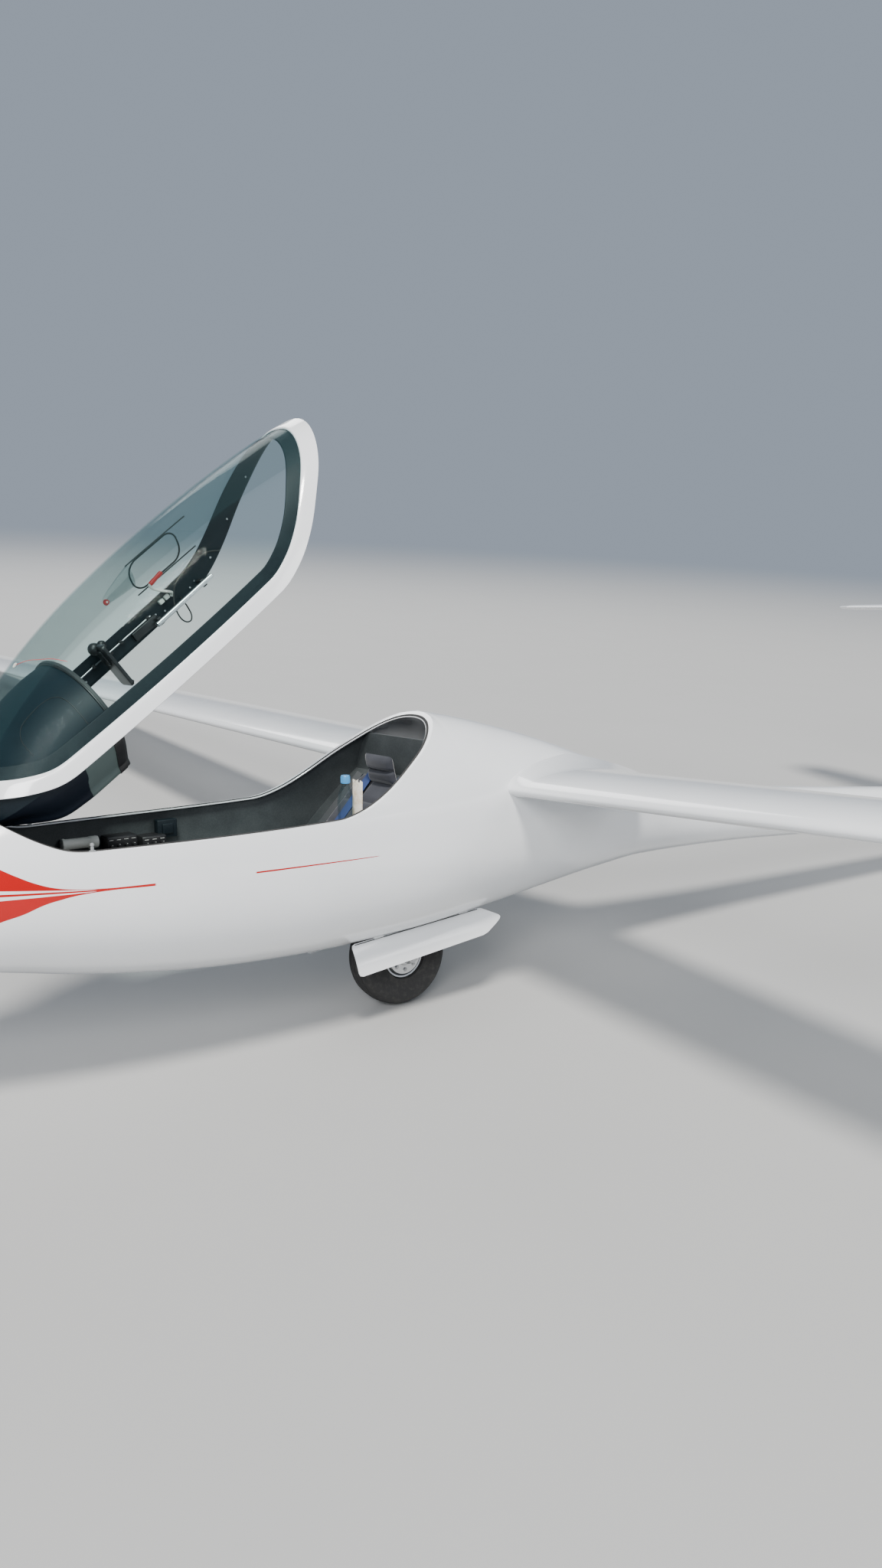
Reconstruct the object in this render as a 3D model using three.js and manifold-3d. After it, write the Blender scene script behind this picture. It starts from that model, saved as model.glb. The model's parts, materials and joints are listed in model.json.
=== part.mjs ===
// Single-seat sailplane with a T-tail, canopy open, at rest on its wheels and its starboard tip skid.
// Millimetres. Before it is settled on the ground: X aft from the nose, Y to starboard, Z up.
import * as THREE from "three";
import { mergeVertices } from "three/addons/utils/BufferGeometryUtils.js";
import Module from "manifold-3d";

const wasm = await Module();
wasm.setup();

// sizes used all over the aircraft
const seam = 0.3;              // gap between fixed pieces that touch
const clearance = 5;           // gap round a moving piece
const endGap = 6.5;            // gap at the ends of the control surfaces
const wingPin = { radius: 4, bore: 4.3, reach: 18, eye: 7 };   // hinge pins of flaps, ailerons and rudder
const tailPin = { radius: 3, bore: 3.3, reach: 18 };           // hinge pins of the elevator
const ringSides = 28;          // points round a fuselage section
const fullness = 2.2;          // exponent of a fuselage section, 2 is an ellipse
const chordSteps = 8;          // points from nose to tail on one side of a wing section
const skin = 12;               // fuselage wall

// fuselage sections: station, height of the bottom, of the top and of the widest point, half width
const fuselageTable = [
  { x: 0, low: 606, high: 614, wide: 610, half: 4 },
  { x: 40, low: 546, high: 664, wide: 608, half: 62 },
  { x: 120, low: 503, high: 724, wide: 610, half: 118 },
  { x: 250, low: 461, high: 792, wide: 616, half: 174 },
  { x: 420, low: 422, high: 862, wide: 622, half: 226 },
  { x: 600, low: 385, high: 930, wide: 626, half: 264 },
  { x: 800, low: 343, high: 1000, wide: 626, half: 289 },
  { x: 1050, low: 303, high: 1051, wide: 622, half: 308 },
  { x: 1300, low: 279, high: 1073, wide: 618, half: 316 },
  { x: 1600, low: 268, high: 1077, wide: 612, half: 318 },
  { x: 1900, low: 275, high: 1062, wide: 612, half: 312 },
  { x: 2100, low: 288, high: 1034, wide: 615, half: 300 },
  { x: 2300, low: 308, high: 990, wide: 622, half: 280 },
  { x: 2600, low: 340, high: 905, wide: 612, half: 236 },
  { x: 2900, low: 368, high: 800, wide: 585, half: 186 },
  { x: 3150, low: 383, high: 715, wide: 550, half: 152 },
  { x: 3700, low: 366, high: 612, wide: 489, half: 118 },
  { x: 4200, low: 331, high: 556, wide: 444, half: 104 },
  { x: 5000, low: 268, high: 474, wide: 371, half: 84 },
  { x: 5900, low: 197, high: 392, wide: 294, half: 62 },
  { x: 6385, low: 166, high: 366, wide: 266, half: 44 },
];
const noseBreak = 420;
const tubBreak = 1660;
const boomBreak = 3150;
const boomEnd = 6385;

// edge of the cockpit opening seen from the side, front to rear: x, z
const sillLine = [
  [480, 895], [560, 838], [640, 788], [720, 754], [800, 746], [1560, 746],
  [1660, 768], [1760, 815], [1870, 886], [1960, 945], [2100, 1052],
];
const above = 1300;            // a height over everything in the cockpit
const frameDepth = 46;         // canopy frame, measured up from the sill
const frameWall = 14;
const glazingOuter = 2;        // glazing surfaces, in from the fuselage's outline
const glazingInner = 6;
const cavityFront = 434;
const cavityRear = 1990;
const shelfLine = [[1640, 474.6], [1990, 819.4]];

// canopy hinge, and how far the canopy stands open
const canopyHinge = { x: 456, z: 832 };
const canopyOpening = 38;
const hingeTube = { radius: 8, bore: 8.3, half: 70, lugIn: 60 };

// instrument hood with the canopy closed: station, bottom, top, half widths over and under the waist
const hoodTable = [
  { x: 525, low: 752, high: 842, upper: 120, lower: 70 },
  { x: 600, low: 702, high: 890, upper: 185, lower: 112 },
  { x: 700, low: 647, high: 936, upper: 232, lower: 148 },
  { x: 800, low: 632, high: 956, upper: 252, lower: 160 },
  { x: 900, low: 629, high: 964, upper: 260, lower: 164 },
  { x: 968, low: 628, high: 960, upper: 264, lower: 164 },
];
const hoodWaist = 765;
const hoodLean = 0.16;         // how far the panel leans: its foot is ahead of its top
const panelDepth = 12;
const bottle = { x: 1617, y: -246, radius: 27, neck: 836, top: 880 };   // in the port side pocket

// main wheel, its bay and its doors
const wheelX = 1970;
const wheelZ = 180;
const tyreRadius = 181;
const tyreHalf = 63;
const rimRadius = 80;
const axleRadius = 12;
const bay = { front: 1690, rear: 2300, half: 140, roof: 468 };
const forkGap = 80;            // from the middle to a fork arm's inner face
const forkPlate = 12;
const gearPivot = { x: 1850, z: 432 };
const gearStrut = { x: 2140, z: 440 };
const doorOutline = [[0, 0], [542, 0], [624, -52], [542, -98], [0, -112]];
const door = { x: 1694, z: 288, y: 136, flare: 20, slope: 4.3, wall: 4 };

// tail wheel
const tailWheelX = 6200;
const tailWheelZ = 104;
const tailTyreRadius = 105;
const tailTyreHalf = 28;
const tailSlot = { front: 6078, rear: 6322, half: 38, roof: 226 };
const tailFairing = {
  half: 47,
  outline: [[6000, 210], [6090, 136], [6170, 88], [6240, 88], [6330, 140], [6372, 200]],
};

// wing stations from the root out: span, leading edge, trailing edge, hinge line, height, thickness
const wingTable = [
  { span: 340, lead: 2272, trail: 2937, hinge: 2812, height: 762, thick: 0.136 },
  { span: 4600, lead: 2300, trail: 2895, hinge: 2783, height: 908, thick: 0.132 },
  { span: 6300, lead: 2340, trail: 2840, hinge: 2744, height: 975, thick: 0.13 },
  { span: 8400, lead: 2440, trail: 2765, hinge: 2696, height: 1058, thick: 0.122 },
  { span: 8850, lead: 2530, trail: 2746, hinge: 2696, height: 1078, thick: 0.118 },
];
const rootSpan = 340;
const flapEnd = 4600;
const panelBreak = 6300;
const aileronEnd = 8400;
const tipSpan = 8850;
const wingCamber = 0.025;
const wingIncidence = THREE.MathUtils.degToRad(1.6);
// winglet rings: distance out and up, lean from upright lift to side force, leading and trailing edge
const wingletTable = [
  { out: 8850.3, rise: 0, lean: 0, lead: 2530, trail: 2746 },
  { out: 8900, rise: 12, lean: 32, lead: 2552, trail: 2752 },
  { out: 8940, rise: 58, lean: 66, lead: 2590, trail: 2762 },
  { out: 8990, rise: 400, lean: 80, lead: 2712, trail: 2800 },
];
const tipSkid = { x: 2640, span: 8780, drop: 40, radius: 42, wall: 12 };

// fin and rudder: height, leading edge, trailing edge, hinge line, thickness
const finTable = [
  { z: 236, lead: 5830, trail: 6740, hinge: 6436, thick: 0.094 },
  { z: 330, lead: 5862, trail: 6780, hinge: 6439, thick: 0.094 },
  { z: 1352, lead: 6172, trail: 6702, hinge: 6470, thick: 0.1 },
];
const rudderLow = 236;
const rudderTop = 1288;
const rudderFoot = { plate: 227, top: 230.5 };
const rudderHead = { plate: 1293.4, top: 1297 };
const tailplaneZ = 1352;
// tailplane: span, leading edge, trailing edge, hinge line, thickness
const tailplaneTable = [
  { span: 0, lead: 6160, trail: 6622, hinge: 6484, thick: 0.105 },
  { span: 700, lead: 6196, trail: 6592, hinge: 6484, thick: 0.105 },
  { span: 1190, lead: 6262, trail: 6556, hinge: 6484, thick: 0.1 },
  { span: 1275, lead: 6310, trail: 6530, hinge: 6484, thick: 0.095 },
];
const elevatorEnd = 1190;
const probe = { z: 980, radius: 5, front: 5690 };

const paint = (color, roughness, metalness = 0) =>
  new THREE.MeshStandardMaterial({ color, roughness, metalness });
const finish = {
  gelcoat: paint(0xf2f4f5, 0.18),
  glazing: paint(0x7fb8bd, 0.05),
  dark: paint(0x1a2226, 0.55),
  grey: paint(0xa9b2ac, 0.5),
  seat: paint(0x2a2c30, 0.8),
  rubber: paint(0x17181a, 0.85),
  steel: paint(0x9aa0a4, 0.35, 0.9),
  alloy: paint(0xc4c8ca, 0.35, 0.8),
  red: paint(0xc8202a, 0.4),
  blue: paint(0x2458a8, 0.4),
  screen: paint(0x0c1012, 0.15),
};

const airframe = new THREE.Group();
const canopy = new THREE.Group();
canopy.position.set(canopyHinge.x, 0, canopyHinge.z);
canopy.rotation.y = -THREE.MathUtils.degToRad(canopyOpening);
airframe.add(canopy);

function piece(name, geometry, material, parent = airframe) {
  const mesh = new THREE.Mesh(geometry, material);
  mesh.name = name;
  parent.add(mesh);
  return mesh;
}

// pieces of the canopy are drawn where they lie when it is closed
function canopyPiece(name, geometry, material) {
  geometry.translate(-canopyHinge.x, 0, -canopyHinge.z);
  return piece(name, geometry, material, canopy);
}

// triangles as one closed body, faces out
function closedBody(points, faces) {
  let volume = 0;
  for (const [a, b, c] of faces) {
    volume += points[a].dot(new THREE.Vector3().crossVectors(points[b], points[c]));
  }
  const outward = volume > 0 ? faces : faces.map(([a, b, c]) => [a, c, b]);
  const geometry = new THREE.BufferGeometry();
  const flat = points.flatMap((point) => point.toArray());
  geometry.setAttribute("position", new THREE.Float32BufferAttribute(flat, 3));
  geometry.setIndex(outward.flat());
  return geometry;
}

// the same for a geometry of three.js, its doubled corners merged
function merged(geometry) {
  const bare = geometry.clone();
  bare.deleteAttribute("normal");
  bare.deleteAttribute("uv");
  const whole = mergeVertices(bare, 1e-3);
  const { position } = whole.attributes;
  const points = Array.from({ length: position.count }, (_, i) =>
    new THREE.Vector3().fromBufferAttribute(position, i));
  const faces = [];
  for (let i = 0; i < whole.index.count; i += 3) {
    const face = [0, 1, 2].map((k) => whole.index.getX(i + k));
    if (new Set(face).size === 3) faces.push(face);
  }
  return closedBody(points, faces);
}

function toSolid(geometry) {
  const body = merged(geometry);
  return new wasm.Manifold(new wasm.Mesh({
    numProp: 3,
    vertProperties: new Float32Array(body.attributes.position.array),
    triVerts: new Uint32Array(body.index.array),
  }));
}

function toGeometry(solid) {
  const mesh = solid.getMesh();
  const geometry = new THREE.BufferGeometry();
  geometry.setAttribute("position", new THREE.BufferAttribute(mesh.vertProperties, 3));
  geometry.setIndex(new THREE.BufferAttribute(mesh.triVerts, 1));
  return geometry;
}

const join = (...shapes) => toGeometry(shapes.map(toSolid).reduce((whole, next) => whole.add(next)));
const cut = (shape, ...tools) =>
  toGeometry(tools.reduce((whole, tool) => whole.subtract(toSolid(tool)), toSolid(shape)));
const within = (shape, tool) => toGeometry(toSolid(shape).intersect(toSolid(tool)));

// closed body through rings of equal count; across is the axis that its end rings are flat to
function loft(rings, across) {
  const [u, v] = { x: ["y", "z"], y: ["x", "z"], z: ["x", "y"] }[across];
  const count = rings[0].length;
  const faces = [];
  for (let r = 0; r + 1 < rings.length; r++) {
    for (let i = 0; i < count; i++) {
      const a = r * count + i;
      const b = r * count + (i + 1) % count;
      faces.push([a, b, b + count], [a, b + count, a + count]);
    }
  }
  for (const [ring, first, turn] of [[rings[0], 0, -1], [rings.at(-1), (rings.length - 1) * count, 1]]) {
    const outline = ring.map((p) => new THREE.Vector2(p[u], p[v]));
    const way = turn * Math.sign(THREE.ShapeUtils.area(outline));
    for (const corners of THREE.ShapeUtils.triangulateShape(outline, [])) {
      const [a, b, c] = corners.map((k) => first + k);
      const same = way * THREE.ShapeUtils.area(corners.map((k) => outline[k])) > 0;
      faces.push(same ? [a, b, c] : [a, c, b]);
    }
  }
  return closedBody(rings.flat(), faces);
}

const vec = (x, y, z) => new THREE.Vector3(x, y, z);

function box(x0, x1, y0, y1, z0, z1) {
  return new THREE.BoxGeometry(x1 - x0, Math.abs(y1 - y0), z1 - z0)
    .translate((x0 + x1) / 2, (y0 + y1) / 2, (z0 + z1) / 2);
}

function rod(from, to, radius, sides = 14) {
  const way = to.clone().sub(from);
  const turn = new THREE.Quaternion().setFromUnitVectors(vec(0, 1, 0), way.clone().normalize());
  return new THREE.CylinderGeometry(radius, radius, way.length(), sides)
    .applyQuaternion(turn).translate(...from.clone().add(to).divideScalar(2).toArray());
}

// side outline of x, z points made a slab between two values of y
function slab(outline, y0, y1) {
  const shape = new THREE.Shape(outline.map(([x, z]) => new THREE.Vector2(x, z)));
  return new THREE.ExtrudeGeometry(shape, { depth: y1 - y0, bevelEnabled: false, curveSegments: 10 })
    .rotateX(Math.PI / 2).translate(0, y1, 0);
}

// a ring or disc turned round the Y axis from an outline of radius, y points
function turned(outline, sides, x, z) {
  const profile = [...outline, outline[0]].map(([r, y]) => new THREE.Vector2(r, y));
  return merged(new THREE.LatheGeometry(profile, sides)).translate(x, 0, z);
}

// value of every column of a table at one place, smooth or straight between its rows
function rowAt(table, key, at, smooth = false) {
  const last = table.length - 1;
  const next = Math.min(Math.max(table.findIndex((row) => row[key] > at), 1), last);
  const k = at >= table[last][key] ? last - 1 : next - 1;
  const [here, there] = [table[k], table[k + 1]];
  const step = there[key] - here[key];
  const t = (at - here[key]) / step;
  const slope = (column, i) => {
    const [a, b] = [table[Math.max(i - 1, 0)], table[Math.min(i + 1, last)]];
    return (b[column] - a[column]) / (b[key] - a[key]) * step;
  };
  const row = {};
  for (const column of Object.keys(here)) {
    const [p, q] = [here[column], there[column]];
    const [m, n] = smooth ? [slope(column, k), slope(column, k + 1)] : [q - p, q - p];
    row[column] = p + t * m + t * t * (3 * (q - p) - 2 * m - n) + t * t * t * (2 * (p - q) + m + n);
  }
  return row;
}

// fuselage
const bulge = (t) => Math.sign(t) * Math.abs(t) ** (2 / fullness);

function fuselageRing(x, inset) {
  const row = rowAt(fuselageTable, "x", x, true);
  return Array.from({ length: ringSides }, (_, i) => {
    const angle = 2 * Math.PI * i / ringSides;
    const reach = i < ringSides / 2 ? row.high - row.wide : row.wide - row.low;
    return vec(x, (row.half - inset) * bulge(Math.cos(angle)),
      row.wide + (reach - inset) * bulge(Math.sin(angle)));
  });
}

function fuselage(from, to, steps, inset = 0, ease = 1) {
  const stations = Array.from({ length: steps + 1 }, (_, i) => from + (to - from) * (i / steps) ** ease);
  return loft(stations.map((x) => fuselageRing(x, inset)), "x");
}

// the sill line moved up across itself
function raisedSill(distance) {
  return sillLine.map(([x, z], i) => {
    const [x0, z0] = sillLine[Math.max(i - 1, 0)];
    const [x1, z1] = sillLine[Math.min(i + 1, sillLine.length - 1)];
    const length = Math.hypot(x1 - x0, z1 - z0);
    return [x - distance * (z1 - z0) / length, z + distance * (x1 - x0) / length];
  });
}

const wide = 400;              // further out than any side of the cockpit
const overSill = (distance) => {
  const line = raisedSill(distance);
  return slab([...line, [line.at(-1)[0], above], [line[0][0], above]], -wide, wide);
};

// the space in the cockpit and behind it, and the tail boom, both also drawn larger or smaller
const cabin = (inset) => fuselage(cavityFront, cavityRear, 14, inset);
const boomBody = (growth) => fuselage(boomBreak + seam, boomEnd + growth, 9, -growth);

function fuselagePieces() {
  piece("nose_shell", fuselage(0, noseBreak, 7, 0, 1.7), finish.gelcoat);

  const cockpit = fuselage(noseBreak + seam, tubBreak - seam, 10);
  piece("cockpit_shell", cut(cockpit, cabin(skin), overSill(0)), finish.gelcoat);

  const shelf = [...shelfLine, [cavityRear, above], [shelfLine[0][0], above]];
  const rearCavity = within(cabin(skin), slab(shelf, -wide, wide));
  const wheelBay = box(bay.front, bay.rear, -bay.half, bay.half, 0, bay.roof);
  const sides = [-1, 1].flatMap((side) => [rootFairing(side),
    rod(wingHinge(side, 300), wingHinge(side, rootSpan + endGap + wingPin.reach), wingPin.radius)]);
  piece("centre_shell", cut(join(fuselage(tubBreak + seam, boomBreak - seam, 12), ...sides),
    rearCavity, overSill(0), wheelBay), finish.gelcoat);

  const slot = box(tailSlot.front, tailSlot.rear, -tailSlot.half, tailSlot.half, 0, tailSlot.roof);
  const [foot, toe] = [finHinge(rudderFoot.plate), finHinge(rudderLow + wingPin.reach)];
  const bracket = box(boomEnd - 20, foot.x, -wingPin.eye, wingPin.eye, rudderFoot.plate, rudderFoot.top);
  const eye = rod(foot, vec(foot.x, 0, rudderFoot.top), wingPin.eye);
  const boom = cut(boomBody(0), slot);
  piece("tail_boom", join(boom, bracket, eye, rod(foot, toe, wingPin.radius)), finish.gelcoat);
  const fairing = slab(tailFairing.outline, -tailFairing.half, tailFairing.half);
  piece("tail_wheel_fairing", cut(fairing, slot, boomBody(seam)), finish.gelcoat);
}

// wings and tail surfaces: sections with their nose at the leading edge
const halfThickness = (s, thick) =>
  5 * thick * (0.2969 * Math.sqrt(s) - 0.126 * s - 0.3516 * s ** 2 + 0.2843 * s ** 3 - 0.1015 * s ** 4);

function sectionRing(row, camber, place) {
  const chord = row.trail - row.lead;
  return Array.from({ length: 2 * chordSteps + 1 }, (_, i) => {
    const k = i - chordSteps;
    const s = (1 - Math.cos(Math.PI * k / chordSteps)) / 2;
    const off = 4 * camber * s * (1 - s) - Math.sign(k) * halfThickness(s, row.thick);
    return place(row.lead + s * chord, off * chord);
  });
}

// size of a control surface's round nose at its hinge line
function hingeNose(row, camber) {
  const chord = row.trail - row.lead;
  const share = (row.hinge - row.lead) / chord;
  const radius = halfThickness(share, row.thick) * chord;
  return { chord, share, radius, mid: 4 * camber * share * (1 - share) * chord };
}

// a control surface's section: flat sides behind its hinge line, a round nose before it
function surfaceRing(row, camber, place) {
  const { chord, share, radius, mid } = hingeNose(row, camber);
  const back = [1, 0.5, 0].map((t) => {
    const s = share + (1 - share) * t;
    return [row.lead + s * chord, 4 * camber * s * (1 - s) * chord, halfThickness(s, row.thick) * chord];
  });
  const nose = [120, 150, 180, 210, 240].map((degrees) => {
    const angle = THREE.MathUtils.degToRad(degrees);
    return place(row.hinge + radius * Math.cos(angle), mid + radius * Math.sin(angle));
  });
  return [
    ...back.map(([x, line, half]) => place(x, line + half)),
    ...nose,
    ...back.reverse().map(([x, line, half]) => place(x, line - half)),
  ];
}

// block behind a hinge line, which frees the space for the control surface
function hingeBay(row, camber, place, reach) {
  const wall = row.hinge - hingeNose(row, camber).radius - clearance;
  const corners = [[wall, reach], [row.trail + 60, reach], [row.trail + 60, -reach], [wall, -reach]];
  return corners.map(([x, off]) => place(x, off));
}

const wingAt = (span) => rowAt(wingTable, "span", span);
const wingPlace = (side, span, row) => (x, off) => vec(x, side * span,
  row.height + off + (row.lead + 0.35 * (row.trail - row.lead) - x) * Math.tan(wingIncidence));
const wingRings = (side, spans, ring, ...rest) => spans.map((span) => {
  const row = wingAt(span);
  return ring(row, wingCamber, wingPlace(side, span, row), ...rest);
});
// a point of the hinge line of flap and aileron
const wingHinge = (side, span) => {
  const row = wingAt(span);
  return wingPlace(side, span, row)(row.hinge, hingeNose(row, wingCamber).mid);
};
const wingBody = (side, spans) => loft(wingRings(side, spans, sectionRing), "y");
const wingSurface = (side, spans) => loft(wingRings(side, spans, surfaceRing), "y");
const wingBay = (side, spans) => loft(wingRings(side, spans, hingeBay, 150), "y");

// the swelling of the fuselage towards the wing: span, thickness against the wing's, length added aft
const fairingTable = [
  { span: 120, swell: 1.55, aft: 100 },
  { span: 180, swell: 1.34, aft: 62 },
  { span: 260, swell: 1.12, aft: 24 },
  { span: 310, swell: 1.03, aft: 5 },
  { span: rootSpan - seam, swell: 1, aft: 0 },
];

function rootFairing(side) {
  const root = wingAt(rootSpan);
  return loft(fairingTable.map(({ span, swell, aft }) => {
    const lead = root.lead - 0.35 * aft;
    const row = { ...root, lead, trail: root.trail + aft, thick: root.thick * swell };
    return sectionRing(row, wingCamber, wingPlace(side, span, root));
  }), "y");
}

function wingPieces(side, name) {
  const hingeRod = (from, to, radius) => rod(wingHinge(side, from), wingHinge(side, to), radius);
  const inner = wingBody(side, [rootSpan, 2470, flapEnd, panelBreak - seam]);
  const innerBay = wingBay(side, [rootSpan - 20, flapEnd, panelBreak + 20]);
  const hub = wingHinge(side, flapEnd);
  const front = hub.x - hingeNose(wingAt(flapEnd), wingCamber).radius - clearance - 8;
  const y = [-1.2, 1.2].map((off) => side * flapEnd + off);
  const lug = box(front, hub.x, ...y, hub.z - wingPin.eye, hub.z + wingPin.eye);
  const eye = rod(vec(hub.x, y[0], hub.z), vec(hub.x, y[1], hub.z), wingPin.eye);
  const reach = endGap + wingPin.reach;
  const middlePin = hingeRod(flapEnd - reach, flapEnd + reach, wingPin.radius);
  piece(`wing_inner_${name}`, join(cut(inner, innerBay), lug, eye, middlePin), finish.gelcoat);

  const skidRow = wingAt(tipSkid.span);
  const skid = new THREE.CylinderGeometry(tipSkid.radius, tipSkid.radius, tipSkid.wall, 16)
    .translate(tipSkid.x, side * tipSkid.span, skidRow.height - tipSkid.drop + 20);
  const outer = wingBody(side, [panelBreak + seam, aileronEnd, tipSpan]);
  const outerBay = wingBay(side, [panelBreak - 20, aileronEnd]);
  const tipPin = hingeRod(aileronEnd + 25, aileronEnd - reach, wingPin.radius);
  piece(`wing_outer_${name}`, join(cut(outer, outerBay), skid, tipPin), finish.gelcoat);

  const bores = [
    [rootSpan, rootSpan + reach + 1], [flapEnd - reach - 1, flapEnd + reach + 1],
    [aileronEnd - reach - 1, aileronEnd],
  ]
    .map(([from, to]) => hingeRod(from, to, wingPin.bore));
  const surfaces = {
    flap: cut(wingSurface(side, [rootSpan + endGap, flapEnd - endGap]), bores[0], bores[1]),
    aileron_inner: cut(wingSurface(side, [flapEnd + endGap, panelBreak - seam]), bores[1]),
    aileron_outer: cut(wingSurface(side, [panelBreak + seam, aileronEnd - endGap]), bores[2]),
  };
  for (const [kind, shape] of Object.entries(surfaces)) piece(`${kind}_${name}`, shape, finish.gelcoat);

  const base = wingAt(tipSpan);
  const winglet = wingletTable.map((row) => {
    const lean = THREE.MathUtils.degToRad(row.lean);
    const tilt = Math.tan(wingIncidence) * Math.cos(lean);
    const pivot = row.lead + 0.35 * (row.trail - row.lead);
    return sectionRing({ ...row, thick: base.thick }, wingCamber, (x, off) => {
      const up = off + (pivot - x) * tilt;
      return vec(x, side * (row.out - up * Math.sin(lean)), base.height + row.rise + up * Math.cos(lean));
    });
  });
  piece(`winglet_${name}`, loft(winglet, "y"), finish.gelcoat);
}

const finAt = (z) => rowAt(finTable, "z", z);
const finHinge = (z) => vec(finAt(z).hinge, 0, z);

function tailPieces() {
  const finPlace = (z) => (x, off) => vec(x, off, z);
  const finRings = (heights, ring, ...rest) => heights.map((z) => ring(finAt(z), 0, finPlace(z), ...rest));
  const tailRow = (span) => ({ ...rowAt(tailplaneTable, "span", Math.abs(span)) });
  const tailRings = (spans, ring, ...rest) => spans.map((span) =>
    ring(tailRow(span), 0, (x, off) => vec(x, span, tailplaneZ + off), ...rest));
  const spans = [-1275, -1190, -700, 0, 700, 1190, 1275];

  const tailplane = loft(tailRings(spans, sectionRing), "y");
  const elevatorBay = loft(tailRings([-elevatorEnd, -700, 0, 700, elevatorEnd], hingeBay, 80), "y");
  const { hinge } = tailplaneTable[0];
  const pinTo = (side, y, radius) =>
    rod(vec(hinge, side * (elevatorEnd + 20), tailplaneZ), vec(hinge, side * y, tailplaneZ), radius);
  const reach = elevatorEnd - endGap - tailPin.reach;
  const pins = [-1, 1].map((side) => pinTo(side, reach, tailPin.radius));
  piece("tailplane", join(cut(tailplane, elevatorBay), ...pins), finish.gelcoat);
  const elevatorSpans = [endGap - elevatorEnd, -700, 0, 700, elevatorEnd - endGap];
  const pinBores = [-1, 1].map((side) => pinTo(side, reach - 1, tailPin.bore));
  piece("elevator", cut(loft(tailRings(elevatorSpans, surfaceRing), "y"), ...pinBores), finish.gelcoat);

  const grown = loft(spans.map((span) => sectionRing(tailRow(span), 0, (x, off) =>
    vec(x, span, tailplaneZ + off + Math.sign(off) * seam))), "y");
  const fin = loft(finRings([236, 330, 1352], sectionRing), "z");
  const rudderBay = loft(finRings([200, 1400], hingeBay, 120), "z");
  const head = finHinge(rudderHead.top);
  const wall = head.x - hingeNose(finAt(rudderTop), 0).radius - clearance;
  const plate = box(wall - 6, head.x, -wingPin.eye, wingPin.eye, rudderHead.plate, rudderHead.top);
  const eye = rod(vec(head.x, 0, rudderHead.plate), head, wingPin.eye);
  const topPin = rod(finHinge(rudderTop - wingPin.reach), head, wingPin.radius);
  piece("fin", join(cut(fin, rudderBay, boomBody(seam), grown), plate, eye, topPin), finish.gelcoat);
  const rudderBores = [
    [rudderLow - 5, rudderLow + wingPin.reach + 1], [rudderTop - wingPin.reach - 1, rudderTop + 5],
  ]
    .map(([from, to]) => rod(finHinge(from), finHinge(to), wingPin.bore));
  const rudder = loft(finRings([rudderLow, 330, rudderTop], surfaceRing), "z");
  piece("rudder", cut(rudder, ...rudderBores), finish.gelcoat);

  const finLead = finAt(probe.z).lead;
  const tube = rod(vec(probe.front, 0, probe.z), vec(finLead + 20, 0, probe.z), probe.radius, 10);
  const finGrown = loft([330, 1352].map((z) => {
    const row = finAt(z);
    return sectionRing({ ...row, lead: row.lead - seam }, 0, finPlace(z));
  }), "z");
  piece("fin_probe", cut(tube, finGrown), finish.alloy);
}

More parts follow.
